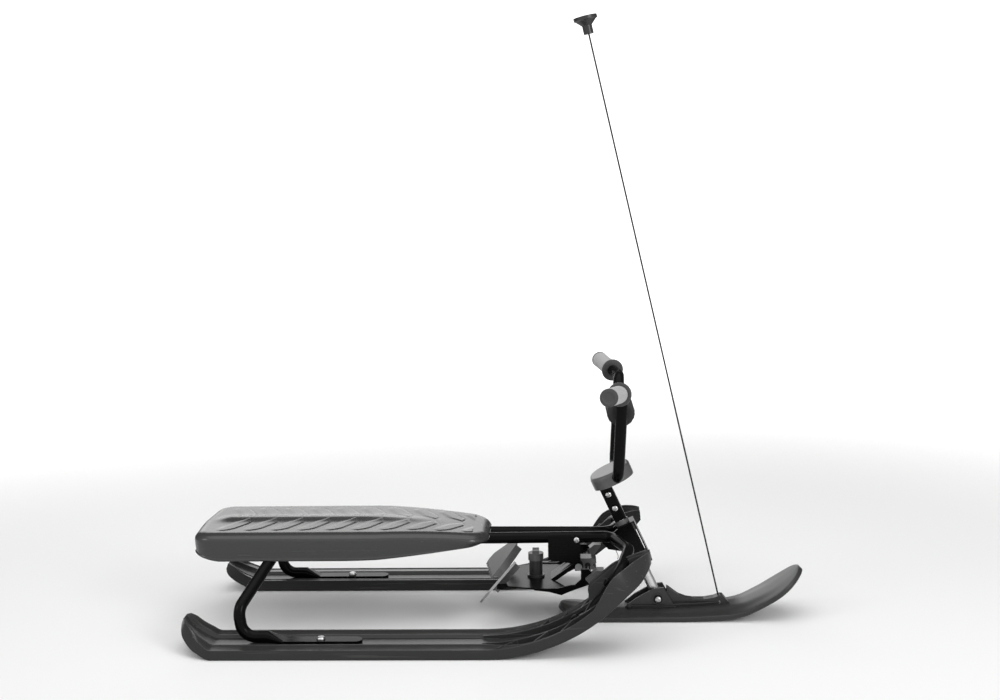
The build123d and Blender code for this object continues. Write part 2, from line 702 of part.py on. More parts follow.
# Nose fitting that the tow cord is tied to
fitting_half = 10.0
fitting_rear_x = 325.0
fitting_front_x = 452.0
fitting_low = 10.0
fitting_high = 57.0
fitting_shares = [
    (0.0, 0.0),
    (0.0, 1.0),
    (0.04, 0.93),
    (0.19, 0.63),
    (0.3, 0.52),
    (0.4, 0.475),
    (0.57, 0.475),
    (0.72, 0.54),
    (0.82, 0.64),
    (0.865, 0.63),
    (0.99, 0.23),
    (1.0, 0.0),
]
cord_hole_x = 428.0
cord_hole_z = 26.5
cord_hole_r = 3.0
fitting_points = spread(
    fitting_shares, fitting_rear_x, fitting_front_x - fitting_rear_x, fitting_low, fitting_high - fitting_low
)
nose_fitting = side_plate(fitting_points, -fitting_half, fitting_half) - front_ski - saddle
nose_fitting -= cross_bar(cord_hole_x, cord_hole_z, fitting_half, cord_hole_r)

# Tow cord, taut and straight, with its lower stretch beside the fitting, and its handle
cord_r = 1.6
cord_bend = 280.0
cord_foot = (428.0, 0.0, 31.0)
cord_top = (180.5, 0.0, 1125.0)
lower_y = -22.5
knot_r = 5.0
knot_at = (250.0, lower_y, 23.0)
cord_upper = cylinder_between(cord_foot, cord_top, cord_r) - nose_fitting
cord_dir = (Vector(*cord_top) - Vector(*cord_foot)).normalized()
handle_r = 22.5
handle_high = 33.0
handle_shares = [(0.0, 0.0), (0.42, 0.0), (0.42, 0.48), (0.84, 0.76), (1.0, 0.82), (1.0, 1.0), (0.0, 1.0)]
handle_face = Plane.XZ * make_face(Polyline(*spread(handle_shares, 0.0, handle_r, 0.0, handle_high), close=True))
tow_handle = Plane(origin=cord_top, x_dir=(0, 1, 0), z_dir=cord_dir) * revolve(handle_face, axis=Axis.Z)
lower_route = [(cord_hole_x, -fitting_half, cord_hole_z), (350.0, lower_y, 25.0), knot_at]
lower_path = FilletPolyline(*lower_route, radius=cord_bend)
cord_knot = Pos(*knot_at) * Sphere(knot_r) - saddle - front_ski
cord_lower = round_bar(lower_path, cord_r) - cord_knot - nose_fitting - saddle - front_ski
print("cord radius", cord_bend, "lower length", round(lower_path.length, 1))

# Foot brake: a folded bracket under the tubes, with ears that hold the pin
ear_in = 31.0
ear_thick = 3.0
bracket_rear_x = 93.0
bracket_front_x = 159.0
bracket_low = 98.0
brake_x = 152.0
brake_z = 106.0
brake_pin_r = 4.0
brake_cap_r = 7.0
brake_cap_h = 4.0
ear_out = ear_in + ear_thick
bracket_high = run_z + tube_r / 2
bracket_length = bracket_front_x - bracket_rear_x
bracket_tall = bracket_high - bracket_low
ear_shares = [(0.0, 0.32), (0.0, 1.0), (0.95, 1.0), (0.95, 0.25), (1.0, 0.2), (1.0, 0.0), (0.79, 0.0), (0.73, 0.21)]
ear_points = spread(ear_shares, bracket_rear_x, bracket_length, bracket_low, bracket_tall)
brake_bracket = side_pair(ear_points, ear_in, ear_out)
web_z = run_z - tube_r - ear_thick
web_points = spread(whole_shares, bracket_rear_x, bracket_length * ear_shares[2][0], web_z, ear_thick)
back_low = bracket_low + bracket_tall * ear_shares[0][1]
back_points = spread(whole_shares, bracket_rear_x, ear_thick, back_low, web_z - back_low)
brake_bracket += side_plate(web_points, -ear_in, ear_in) + side_plate(back_points, -ear_in, ear_in)
brake_pin = cross_bar(brake_x, brake_z, ear_out, brake_pin_r)
brake_pin += cross_bar(brake_x, brake_z, ear_out + brake_cap_h, brake_cap_r) - cross_bar(
    brake_x, brake_z, ear_out, brake_cap_r
)
brake_bracket = brake_bracket - brake_pin - tubes_outside

# Brake frame: pressed plate with a sloped tongue to the hub, outer arms and a cross tube
brake_gap = 5.0
hub_r = 9.0
cross_x = 170.5
cross_z = 104.0
cross_r = 5.5
arm_in = 86.0
arm_thick = 4.0
tray_rear_x = 12.0
tray_front_x = 104.0
tray_wing_x = 134.0
tray_z = 75.5
tray_thick = 3.0
tab_rear_x = -6.0
tab_in = 52.0
tab_out = 80.0
tongue_top = 115.0
rib_half_gap = 14.0
rib_thick = 4.0
arm_rear_x = 66.0
arm_front_x = 186.0
arm_low = 67.0
arm_high = 118.0
arm_shares = [
    (0.0, 0.19),
    (0.25, 0.12),
    (0.433, 0.0),
    (0.567, 0.137),
    (0.92, 0.44),
    (1.0, 0.62),
    (0.87, 1.0),
    (0.745, 1.0),
    (0.745, 0.6),
    (0.645, 0.38),
    (0.59, 0.375),
    (0.36, 0.26),
    (0.0, 0.26),
]
# Tray outline, as shares of its length and of its half width
tray_shares = [(0.0, 0.77), (0.56, 1.0), (1.0, 1.0), (0.754, 0.32)]
# Sloped tongue, as shares of the run from the tray's front edge to the hub
tongue_shares = [(-0.12, 0.0), (0.06, 0.0), (1.05, 0.86), (0.92, 1.0), (-0.12, 0.09)]
rib_shares = [(0.02, 0.04), (0.94, 0.9), (0.86, 1.02), (0.0, 0.17)]
hub_half = ear_in - brake_gap
arm_out = arm_in + arm_thick
arm_points = spread(arm_shares, arm_rear_x, arm_front_x - arm_rear_x, arm_low, arm_high - arm_low)
tray_half = spread(tray_shares, tray_rear_x, tray_wing_x - tray_rear_x, 0.0, arm_in)
tray_points = tray_half + [(x, -y) for x, y in reversed(tray_half)]
tab_points = spread(whole_shares, tab_rear_x, tray_rear_x - tab_rear_x, tray_z, tray_thick)
tongue_run = brake_x - tray_front_x
tongue_points = spread(tongue_shares, tray_front_x, tongue_run, tray_z, tongue_top - tray_z)
rib_points = spread(rib_shares, tray_front_x, tongue_run, tray_z, tongue_top - tray_z)
brake_frame = Pos(0, 0, tray_z) * extrude(make_face(Polyline(*tray_points, close=True)), amount=tray_thick)
brake_frame += side_pair(tab_points, tab_in, tab_out)
brake_frame += side_pair(arm_points, arm_in, arm_out)
brake_frame += side_plate(tongue_points, -hub_half, hub_half)
brake_frame += side_pair(rib_points, rib_half_gap, rib_half_gap + rib_thick)
brake_frame += cross_bar(brake_x, brake_z, hub_half, hub_r)
brake_frame += cross_bar(cross_x, cross_z, arm_out, cross_r)
brake_frame -= cross_bar(brake_x, brake_z, 2 * hub_half, brake_pin_r + run_clearance)

# Bearing block that ties the cross tube to the hub, with a notch in front
block_half = 16.0
block_rear_x = 150.0
block_front_x = 187.0
block_low = 95.0
block_high = 118.0
block_shares = [(0.0, 0.0), (0.0, 1.0), (0.75, 1.0), (1.0, 0.8), (1.0, 0.6), (0.82, 0.52), (0.82, 0.3), (1.0, 0.2), (1.0, 0.0)]
block_points = spread(block_shares, block_rear_x, block_front_x - block_rear_x, block_low, block_high - block_low)
brake_block = side_plate(block_points, -block_half, block_half) - brake_frame
brake_block -= cross_bar(brake_x, brake_z, block_half, hub_r)

# Pedals on the front ends of the outer arms
pedal_in = 78.0
pedal_out = 104.0
pedal_rear_x = 164.0
pedal_front_x = 199.0
pedal_low = 91.0
pedal_high = 119.0
pedal_shares = [(0.0, 0.36), (0.62, 1.0), (1.0, 1.0), (0.95, 0.79), (0.52, 0.12), (0.28, 0.0)]
pedal_points = spread(pedal_shares, pedal_rear_x, pedal_front_x - pedal_rear_x, pedal_low, pedal_high - pedal_low)
right_pedal = side_plate(pedal_points, -pedal_out, -pedal_in) - brake_frame

# Toothed claws: flared blades that lean back from the tray to the snow
claw_low_in = (-20.9, -42.0, 58.3)
claw_low_out = (-34.7, -132.5, 64.2)
claw_top_in = (25.0, -60.0, 116.0)
claw_high = 92.0
claw_gauge = 4.0
flange_deep = 12.0
tooth_count = 7
tooth_depth = 9.0
claw_edge = Vector(*claw_low_out) - Vector(*claw_low_in)
claw_up = Vector(*claw_top_in) - Vector(*claw_low_in)
claw_plane = Plane(origin=claw_low_in, x_dir=claw_edge, z_dir=claw_edge.cross(claw_up))
claw_length = claw_edge.length
tooth_pitch = claw_length / tooth_count
# Blade outline above the teeth, as shares of the blade's length and height
claw_top_shares = [(1.0, 0.11), (0.99, 0.3), (0.46, 1.0), (0.16, 0.9), (0.0, 0.3)]
claw_points = []
for tooth in range(tooth_count):
    claw_points.append((tooth * tooth_pitch, tooth_depth))
    claw_points.append((tooth * tooth_pitch + tooth_pitch / 2, 0.0))
claw_points += [(across * claw_length, rise * claw_high) for across, rise in claw_top_shares]
right_claw = extrude(claw_plane * make_face(Polyline(*claw_points, close=True)), amount=claw_gauge)
# Folded flange along the claw's inner edge, as shares of the blade's length and height
fold_shares = [(0.0, 0.12), (0.0, 0.3), (0.16, 0.9)]
fold_points = [(across * claw_length, rise * claw_high) for across, rise in fold_shares]
fold_points += [(across + claw_gauge, rise) for across, rise in reversed(fold_points)]
right_claw += extrude(claw_plane * make_face(Polyline(*fold_points, close=True)), amount=-flange_deep)
left_claw = mirror(right_claw, about=Plane.XZ)
brake_frame = brake_frame - right_claw - left_claw

# Rubber post and its cap on the tray, under the tubes
post_x = 68.5
post_r = 13.0
post_foot_r = 17.0
post_foot_h = 4.0
post_high = 112.0
post_cap_r = 15.0
post_cap_high = 126.0
finger_high = 133.0
finger_half = 4.0
finger_y = 8.0
post_low = tray_z + tray_thick
spring_post = cylinder_between((post_x, 0, post_low), (post_x, 0, post_high), post_r)
spring_post += cylinder_between((post_x, 0, post_low), (post_x, 0, post_low + post_foot_h), post_foot_r)
spring_cap = cylinder_between((post_x, 0, post_high), (post_x, 0, post_cap_high), post_cap_r)
for side in sides.values():
    finger_at = (post_x, side * finger_y, (post_cap_high + finger_high) / 2)
    spring_cap += Pos(*finger_at) * Box(post_r, 2 * finger_half, finger_high - post_cap_high)

pairs = {
    "rear_ski": right_ski,
    "frame_tube": right_frame_tube,
    "heel_bolt": right_heel_bolt,
    "toe_bolt": right_toe_bolt,
    "nose_bolt": right_nose_bolt,
    "grip": right_grip,
    "brake_claw": right_claw,
    "brake_pedal": right_pedal,
}
singles = {
    "seat": seat_shell,
    "seat_rails": rails,
    "seat_front_plate": front_plate,
    "head_bracket": head_bracket,
    "lower_bush": lower_bush,
    "upper_bush": upper_bush,
    "column": column,
    "shaft": shaft,
    "column_cap": cap,
    "handlebar": handlebar,
    "crossbar": crossbar,
    "crossbar_pad": pad,
    "column_bolt_low": column_bolts[0],
    "column_bolt_high": column_bolts[1],
    "front_ski": front_ski,
    "saddle": saddle,
    "ski_pin": pin,
    "nose_fitting": nose_fitting,
    "cord_upper": cord_upper,
    "cord_lower": cord_lower,
    "cord_knot": cord_knot,
    "tow_handle": tow_handle,
    "brake_bracket": brake_bracket,
    "brake_pin": brake_pin,
    "brake_frame": brake_frame,
    "brake_block": brake_block,
    "spring_post": spring_post,
    "spring_cap": spring_cap,
}
shapes = dict(singles)
for name, shape in pairs.items():
    shapes[name + "_right"] = shape
    shapes[name + "_left"] = mirror(shape, about=Plane.XZ)
for node, shape in shapes.items():
    export_step(shape, "parts/" + node + ".step")
    print(node, len(shape.solids()), round(shape.volume / 1000.0, 1), shape.bounding_box())
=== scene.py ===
# %% [markdown]
# # A steerable snow sled
# The solids of the sled are already made and packed. This script loads them as a fixed
# frame and dresses them: it adds the camera, the light, the finishes and the finer pieces.
# Everything is in metres: +X points forward, +Y to the sled's left and +Z up.

# %% Load the frame
import math

import bmesh
import bpy
from mathutils import Matrix, Vector


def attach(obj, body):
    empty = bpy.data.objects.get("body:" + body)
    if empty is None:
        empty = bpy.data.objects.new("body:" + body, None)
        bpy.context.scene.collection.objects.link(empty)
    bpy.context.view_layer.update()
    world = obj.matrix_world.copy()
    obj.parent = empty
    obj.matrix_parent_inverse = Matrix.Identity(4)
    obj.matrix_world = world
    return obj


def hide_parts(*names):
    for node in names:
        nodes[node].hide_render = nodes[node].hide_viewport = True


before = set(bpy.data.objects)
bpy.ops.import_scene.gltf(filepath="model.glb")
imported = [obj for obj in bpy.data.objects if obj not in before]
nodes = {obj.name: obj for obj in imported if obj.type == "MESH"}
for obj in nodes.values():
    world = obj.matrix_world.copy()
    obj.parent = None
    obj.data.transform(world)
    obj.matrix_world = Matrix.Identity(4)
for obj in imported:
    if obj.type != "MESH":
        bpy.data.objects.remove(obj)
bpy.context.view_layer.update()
scene = bpy.context.scene
MM = 0.001


# %% Helpers for wiring nodes
def join_nodes(tree, *pairs):
    """Links each output socket to the input socket beside it."""
    for source, target in pairs:
        tree.links.new(source, target)


def smooth_range(tree, from_values, to_values):
    """A node that maps one range of values softly onto another."""
    node = tree.nodes.new("ShaderNodeMapRange")
    node.interpolation_type = "SMOOTHSTEP"
    for label, value in zip(("From Min", "From Max", "To Min", "To Max"), (*from_values, *to_values)):
        node.inputs[label].default_value = value
    return node


# %% [markdown]
# ## The camera
# The picture was taken from the sled's right side, a little above the seat, with the
# camera turned slightly to the rear. The angles below were found by matching pairs of
# points that lie on both sides of the sled. A camera looks along its own -Z axis, so the
# matrix is built from the right, up and backward directions.

# %% Place the camera
CAMERA_AT = Vector((0.111, -2.655, 0.882))
PITCH_DOWN = math.radians(7.56)
YAW_REAR = math.radians(2.3)
ROLL = math.radians(0.92)
LENS_MM = 49.85
SENSOR_MM = 36.0

forward = Vector((
    -math.sin(YAW_REAR) * math.cos(PITCH_DOWN),
    math.cos(YAW_REAR) * math.cos(PITCH_DOWN),
    -math.sin(PITCH_DOWN),
))
level_right = Vector((math.cos(YAW_REAR), math.sin(YAW_REAR), 0.0))
level_down = forward.cross(level_right)
right = math.cos(ROLL) * level_right + math.sin(ROLL) * level_down
down = -math.sin(ROLL) * level_right + math.cos(ROLL) * level_down
camera_data = bpy.data.cameras.new("camera")
camera_data.sensor_fit = "HORIZONTAL"
camera_data.sensor_width = SENSOR_MM
camera_data.lens = LENS_MM
camera_data.clip_start = 0.05
camera_data.clip_end = 60.0
camera = bpy.data.objects.new("camera", camera_data)
turn = Matrix((right, -down, -forward)).transposed().to_4x4()
camera.matrix_world = Matrix.Translation(CAMERA_AT) @ turn
scene.collection.objects.link(camera)
scene.camera = camera
print("camera looks along", tuple(round(v, 3) for v in forward))

# %% [markdown]
# ## The light
# The sled stands in a white studio. Seen by the camera, the world is pure white, but it
# lights the sled more gently: well from the camera's side, and hardly from behind, so that
# the black plastic seen at a flat angle stays black. One soft lamp hangs above, and a
# bright panel stands low behind the sled: its reflection is what makes the seat's top and
# the front ski's deck look pale while their sides stay dark. Two smaller lamps light the
# front and the rear.

# %% Light the studio
scene.view_settings.view_transform = "Standard"
WORLD_SEEN = 1.9
# Light from behind the sled and from the camera's side, and where along Y it changes
WORLD_LIGHT = (0.1, 0.95)
WORLD_TURN = (0.9, -0.9)
world = bpy.data.worlds.new("studio")
scene.world = world
world.use_nodes = True
world_tree = world.node_tree
soft_white = world_tree.nodes["Background"]
soft_white.inputs["Color"].default_value = (1.0, 1.0, 1.0, 1.0)
way_seen = world_tree.nodes.new("ShaderNodeTexCoord")
way_parts = world_tree.nodes.new("ShaderNodeSeparateXYZ")
side_light = smooth_range(world_tree, WORLD_TURN, WORLD_LIGHT)
seen_white = world_tree.nodes.new("ShaderNodeBackground")
seen_white.inputs["Strength"].default_value = WORLD_SEEN
ray_kind = world_tree.nodes.new("ShaderNodeLightPath")
choose = world_tree.nodes.new("ShaderNodeMixShader")
join_nodes(
    world_tree,
    (way_seen.outputs["Generated"], way_parts.inputs["Vector"]),
    (way_parts.outputs["Y"], side_light.inputs["Value"]),
    (side_light.outputs["Result"], soft_white.inputs["Strength"]),
    (ray_kind.outputs["Is Camera Ray"], choose.inputs["Fac"]),
    (soft_white.outputs["Background"], choose.inputs[1]),
    (seen_white.outputs["Background"], choose.inputs[2]),
    (choose.outputs["Shader"], world_tree.nodes["World Output"].inputs["Surface"]),
)

# Columns: name, place, target, width, height, watts
lamps = [
    ("lamp_top", (0.1, -0.3, 3.0), (-0.05, 0.0, 0.1), 3.8, 3.0, 44.0),
    ("lamp_panel", (-0.75, 3.4, 0.95), (-0.05, 0.0, 0.15), 2.6, 1.5, 21.0),
    ("lamp_front", (2.3, -2.4, 1.7), (0.1, 0.0, 0.25), 1.1, 1.1, 33.0),
    ("lamp_rear", (-2.6, -1.4, 1.9), (-0.2, 0.0, 0.2), 1.1, 1.1, 12.0),
]
for name, place, target, width, height, watts in lamps:
    data = bpy.data.lights.new(name, "AREA")
    data.shape = "RECTANGLE"
    data.size = width
    data.size_y = height
    data.energy = watts
    lamp = bpy.data.objects.new(name, data)
    lamp.location = place
    aim = Vector(target) - Vector(place)
    lamp.rotation_euler = aim.to_track_quat("-Z", "Y").to_euler()
    lamp.visible_camera = False
    scene.collection.objects.link(lamp)
print("lamps", len(lamps))

# %% [markdown]
# ## The floor
# A plain pale floor catches the soft shadows. It is a round sheet that turns clear
# towards its rim, so that it fades into the white world without a line at the horizon.

# %% Lay the floor
FLOOR_R = 4.2
FLOOR_STEPS = 96
FADE_FROM = 1.1
FADE_TO = 3.6
floor_ring = [
    (
        FLOOR_R * math.cos(math.tau * step / FLOOR_STEPS),
        FLOOR_R * math.sin(math.tau * step / FLOOR_STEPS),
        0.0,
    )
    for step in range(FLOOR_STEPS)
]
floor_mesh = bpy.data.meshes.new("studio_floor")
floor_mesh.from_pydata(floor_ring, [], [tuple(range(FLOOR_STEPS))])
floor = bpy.data.objects.new("studio_floor", floor_mesh)
scene.collection.objects.link(floor)
floor_paper = bpy.data.materials.new("studio_paper")
floor_paper.use_nodes = True
paper_tree = floor_paper.node_tree
paper = paper_tree.nodes["Principled BSDF"]
paper.inputs["Base Color"].default_value = (0.9, 0.9, 0.9, 1.0)
paper.inputs["Roughness"].default_value = 0.6
paper.inputs["Specular IOR Level"].default_value = 0.1
place_node = paper_tree.nodes.new("ShaderNodeTexCoord")
reach = paper_tree.nodes.new("ShaderNodeVectorMath")
reach.operation = "LENGTH"
fade = smooth_range(paper_tree, (FADE_FROM, FADE_TO), (1.0, 0.0))
join_nodes(
    paper_tree,
    (place_node.outputs["Object"], reach.inputs[0]),
    (reach.outputs["Value"], fade.inputs["Value"]),
    (fade.outputs["Result"], paper.inputs["Alpha"]),
)
floor_mesh.materials.append(floor_paper)

# %% [markdown]
# ## Shared effects
# Most of the sled is moulded plastic and painted steel. Their finishes share a few
# effects, so each effect is a shader node group, built once, with named inputs: paler edges,
# partly worn and partly a painted highlight, the fine grain of a mould, long scuffs from snow and shoes, and
# settled dust.

# %% A helper for node groups
def effect_group(name, inputs, outputs):
    """An empty shader group. Input rows are (label, kind, value), output rows (label, kind)."""
    group = bpy.data.node_groups.new(name, "ShaderNodeTree")
    for label, kind, value in inputs:
        socket = group.interface.new_socket(name=label, in_out="INPUT", socket_type=kind)
        socket.default_value = value
    for label, kind in outputs:
        group.interface.new_socket(name=label, in_out="OUTPUT", socket_type=kind)
    return group, group.nodes.new("NodeGroupInput"), group.nodes.new("NodeGroupOutput")


def math_node(tree, operation, first, second, clamp=False):
    """A maths node. Each side is a number or an output socket."""
    node = tree.nodes.new("ShaderNodeMath")
    node.operation = operation
    node.use_clamp = clamp
    for socket, value in zip(node.inputs, (first, second)):
        if isinstance(value, (int, float)):
            socket.default_value = value
        else:
            tree.links.new(value, socket)
    return node.outputs["Value"]


FLOAT = "NodeSocketFloat"
MASK_GAIN = 9.0

# %% The edge group: worn edges and painted edge highlights
# Edges are drawn paler: partly real wear, partly a painted highlight where light would catch the rounded
# edges.
edge_group, edge_in, edge_out = effect_group(
    "wear_and_highlight_edge",
    [("Radius", FLOAT, 0.0012), ("Amount", FLOAT, 1.0), ("Patch Scale", FLOAT, 40.0)],
    [("Mask", FLOAT)],
)
rounded = edge_group.nodes.new("ShaderNodeBevel")
rounded.samples = 4
true_face = edge_group.nodes.new("ShaderNodeNewGeometry")
same_way = edge_group.nodes.new("ShaderNodeVectorMath")
same_way.operation = "DOT_PRODUCT"
edge_place = edge_group.nodes.new("ShaderNodeTexCoord")
patches = edge_group.nodes.new("ShaderNodeTexNoise")
patches.inputs["Detail"].default_value = 3.0
join_nodes(
    edge_group,
    (edge_in.outputs["Radius"], rounded.inputs["Radius"]),
    (rounded.outputs["Normal"], same_way.inputs[0]),
    (true_face.outputs["Normal"], same_way.inputs[1]),
    (edge_place.outputs["Object"], patches.inputs["Vector"]),
    (edge_in.outputs["Patch Scale"], patches.inputs["Scale"]),
)
turned_away = math_node(edge_group, "SUBTRACT", 1.0, same_way.outputs["Value"])
strong = math_node(edge_group, "MULTIPLY", turned_away, MASK_GAIN, clamp=True)
patchy = math_node(edge_group, "MULTIPLY_ADD", patches.outputs["Fac"], 1.6)
patchy.node.inputs[2].default_value = -0.25
broken = math_node(edge_group, "MULTIPLY", strong, patchy, clamp=True)
edge_mask = math_node(edge_group, "MULTIPLY", broken, edge_in.outputs["Amount"], clamp=True)
edge_group.links.new(edge_mask, edge_out.inputs["Mask"])

# %% The mould grain group
grain_group, grain_in, grain_out = effect_group(
    "mould_grain", [("Scale", FLOAT, 900.0), ("Drift", FLOAT, 6.0)], [("Height", FLOAT), ("Cloud", FLOAT)]
)
grain_place = grain_group.nodes.new("ShaderNodeTexCoord")
pits = grain_group.nodes.new("ShaderNodeTexVoronoi")
specks = grain_group.nodes.new("ShaderNodeTexNoise")
specks.inputs["Detail"].default_value = 2.0
clouds = grain_group.nodes.new("ShaderNodeTexNoise")
clouds.inputs["Detail"].default_value = 4.0
for texture in (pits, specks, clouds):
    grain_group.links.new(grain_place.outputs["Object"], texture.inputs["Vector"])
for texture in (pits, specks):
    grain_group.links.new(grain_in.outputs["Scale"], texture.inputs["Scale"])
grain_group.links.new(grain_in.outputs["Drift"], clouds.inputs["Scale"])
grain_height = math_node(grain_group, "ADD", pits.outputs["Distance"], specks.outputs["Fac"])
grain_group.links.new(grain_height, grain_out.inputs["Height"])
grain_group.links.new(clouds.outputs["Fac"], grain_out.inputs["Cloud"])

# %% The long scuff group
scuff_group, scuff_in, scuff_out = effect_group(
    "long_scuffs",
    [("Length Scale", FLOAT, 5.0), ("Width Scale", FLOAT, 160.0), ("Cut", FLOAT, 0.62)],
    [("Mask", FLOAT)],
)
scuff_place = scuff_group.nodes.new("ShaderNodeTexCoord")
scuff_size = scuff_group.nodes.new("ShaderNodeCombineXYZ")
stretch = scuff_group.nodes.new("ShaderNodeVectorMath")
stretch.operation = "MULTIPLY"
streaks = scuff_group.nodes.new("ShaderNodeTexNoise")
streaks.inputs["Scale"].default_value = 1.0
streaks.inputs["Detail"].default_value = 2.0
join_nodes(
    scuff_group,
    (scuff_in.outputs["Length Scale"], scuff_size.inputs["X"]),
    (scuff_in.outputs["Width Scale"], scuff_size.inputs["Y"]),
    (scuff_in.outputs["Width Scale"], scuff_size.inputs["Z"]),
    (scuff_place.outputs["Object"], stretch.inputs[0]),
    (scuff_size.outputs["Vector"], stretch.inputs[1]),
    (stretch.outputs["Vector"], streaks.inputs["Vector"]),
)
above_cut = math_node(scuff_group, "SUBTRACT", streaks.outputs["Fac"], scuff_in.outputs["Cut"])
scuff_mask = math_node(scuff_group, "MULTIPLY", above_cut, MASK_GAIN, clamp=True)
scuff_group.links.new(scuff_mask, scuff_out.inputs["Mask"])

# %% The settled dust group
dust_group, dust_in, dust_out = effect_group("settled_dust", [("Amount", FLOAT, 0.05)], [("Mask", FLOAT)])
facing = dust_group.nodes.new("ShaderNodeNewGeometry")
upward = dust_group.nodes.new("ShaderNodeSeparateXYZ")
dust_place = dust_group.nodes.new("ShaderNodeTexCoord")
drifts = dust_group.nodes.new("ShaderNodeTexNoise")
drifts.inputs["Scale"].default_value = 26.0
drifts.inputs["Detail"].default_value = 6.0
dust_group.links.new(facing.outputs["Normal"], upward.inputs["Vector"])
dust_group.links.new(dust_place.outputs["Object"], drifts.inputs["Vector"])
flat_part = math_node(dust_group, "MULTIPLY", upward.outputs["Z"], 1.0, clamp=True)
drifting = math_node(dust_group, "MULTIPLY", flat_part, drifts.outputs["Fac"])
dust_mask = math_node(dust_group, "MULTIPLY", drifting, dust_in.outputs["Amount"], clamp=True)
dust_group.links.new(dust_mask, dust_out.inputs["Mask"])
print("shared effects", [group.name for group in (edge_group, grain_group, scuff_group, dust_group)])

# %% [markdown]
# ## The finishes
# Each finish is one material with its own shader. The base colour is darkened and
# lightened in soft clouds, edges show a paler tone that is partly wear and partly a painted highlight,
# scuffs show a paler tone, and the grain only moves the surface by hundredths of a millimetre. The table
# gives each finish its own numbers.

# %% Mix the finishes
def mix_color(tree, factor, first, second):
    """Blends two colours by a mask. The first is a socket or a colour."""
    node = tree.nodes.new("ShaderNodeMix")
    node.data_type = "RGBA"
    tree.links.new(factor, node.inputs["Factor"])
    if isinstance(first, tuple):
        node.inputs["A"].default_value = (*first, 1.0)
    else:
        tree.links.new(first, node.inputs["A"])
    node.inputs["B"].default_value = (*second, 1.0)
    return node.outputs["Result"]


def use_group(tree, group, **values):
    """Places a shared effect in a material with its own values."""
    node = tree.nodes.new("ShaderNodeGroup")
    node.node_tree = group
    for label, value in values.items():
        node.inputs[label.replace("_", " ")].default_value = value
    return node


def grey(level, warm=0.0):
    """A neutral colour with a slight lean to warm or cold."""
    return (level * (1.0 + warm), level, level * (1.0 - warm))


def make_finish(name, level, rough, shine, metal, grain, depth, edge_wear_and_highlight, scuffed, dusty):
    """One finish from a row of the table below."""
    material = bpy.data.materials.new(name)
    material.use_nodes = True
    tree = material.node_tree
    shader = tree.nodes["Principled BSDF"]
    grain_node = use_group(tree, grain_group, Scale=grain)
    edge_node = use_group(tree, edge_group, Amount=edge_wear_and_highlight)
    scuff_node = use_group(tree, scuff_group)
    dust_node = use_group(tree, dust_group, Amount=dusty)
    clouded = mix_color(tree, grain_node.outputs["Cloud"], grey(level * 0.86), grey(level * 1.14))
    # Paler edges: partly wear, partly a painted highlight on the rounded edges.
    edged = mix_color(tree, edge_node.outputs["Mask"], clouded, grey(min(0.75, level * 2.6 + 0.05)))
    scuff_part = math_node(tree, "MULTIPLY", scuff_node.outputs["Mask"], scuffed)
    rubbed = mix_color(tree, scuff_part, edged, grey(min(0.75, level * 1.8 + 0.03)))
    dusted = mix_color(tree, dust_node.outputs["Mask"], rubbed, grey(0.32, 0.04))
    tree.links.new(dusted, shader.inputs["Base Color"])
    rough_cloud = math_node(tree, "MULTIPLY_ADD", grain_node.outputs["Cloud"], rough * 0.5)
    rough_cloud.node.inputs[2].default_value = rough * 0.75
    rough_all = math_node(tree, "MULTIPLY_ADD", scuff_part, 0.25)
    tree.links.new(rough_cloud, rough_all.node.inputs[2])
    tree.links.new(rough_all, shader.inputs["Roughness"])
    shader.inputs["Metallic"].default_value = metal
    shader.inputs["Specular IOR Level"].default_value = shine
    bump = tree.nodes.new("ShaderNodeBump")
    bump.inputs["Strength"].default_value = 1.0
    bump.inputs["Distance"].default_value = depth
    tree.links.new(grain_node.outputs["Height"], bump.inputs["Height"])
    tree.links.new(bump.outputs["Normal"], shader.inputs["Normal"])
    return material


# Columns: name, grey level, roughness, shine, metallic, grain scale, grain depth, paler edges (wear and
# painted highlight), scuffs, dust
finish_table = [
    ("ski_plastic", 0.028, 0.24, 0.14, 0.0, 700.0, 0.000008, 0.8, 0.3, 0.04),
    ("blade_plastic", 0.026, 0.32, 0.3, 0.0, 500.0, 0.000004, 0.5, 0.15, 0.03),
    ("seat_plastic", 0.028, 0.26, 0.5, 0.0, 800.0, 0.000003, 0.3, 0.08, 0.03),
    ("light_plastic", 0.085, 0.36, 0.5, 0.0, 900.0, 0.00002, 0.3, 0.1, 0.04),
    ("frame_paint", 0.002, 0.26, 0.08, 0.0, 300.0, 0.000004, 0.2, 0.04, 0.01),
    ("bright_steel", 0.58, 0.28, 0.5, 1.0, 600.0, 0.00001, 0.2, 0.3, 0.02),
    ("claw_steel", 0.2, 0.42, 0.5, 0.6, 500.0, 0.00002, 0.6, 0.4, 0.04),
    ("grip_rubber", 0.42, 0.6, 0.5, 0.0, 1200.0, 0.00003, 0.2, 0.0, 0.05),
    ("grip_ring", 0.035, 0.5, 0.5, 0.0, 1200.0, 0.00003, 0.2, 0.0, 0.05),
    ("foam_cover", 0.016, 0.75, 0.5, 0.0, 1500.0, 0.00006, 0.1, 0.0, 0.05),
    ("cord_fibre", 0.012, 0.8, 0.5, 0.0, 2000.0, 0.00004, 0.1, 0.0, 0.03),
    ("black_plastic", 0.016, 0.36, 0.5, 0.0, 800.0, 0.00002, 0.4, 0.15, 0.03),
]
finishes = {row[0]: make_finish(*row) for row in finish_table}
print("finishes", len(finishes))

# %% [markdown]
# ## Dressing the solids
# Every solid gets its finish. A solid's own material slots are filled anew, and its shape
# stays as it is.

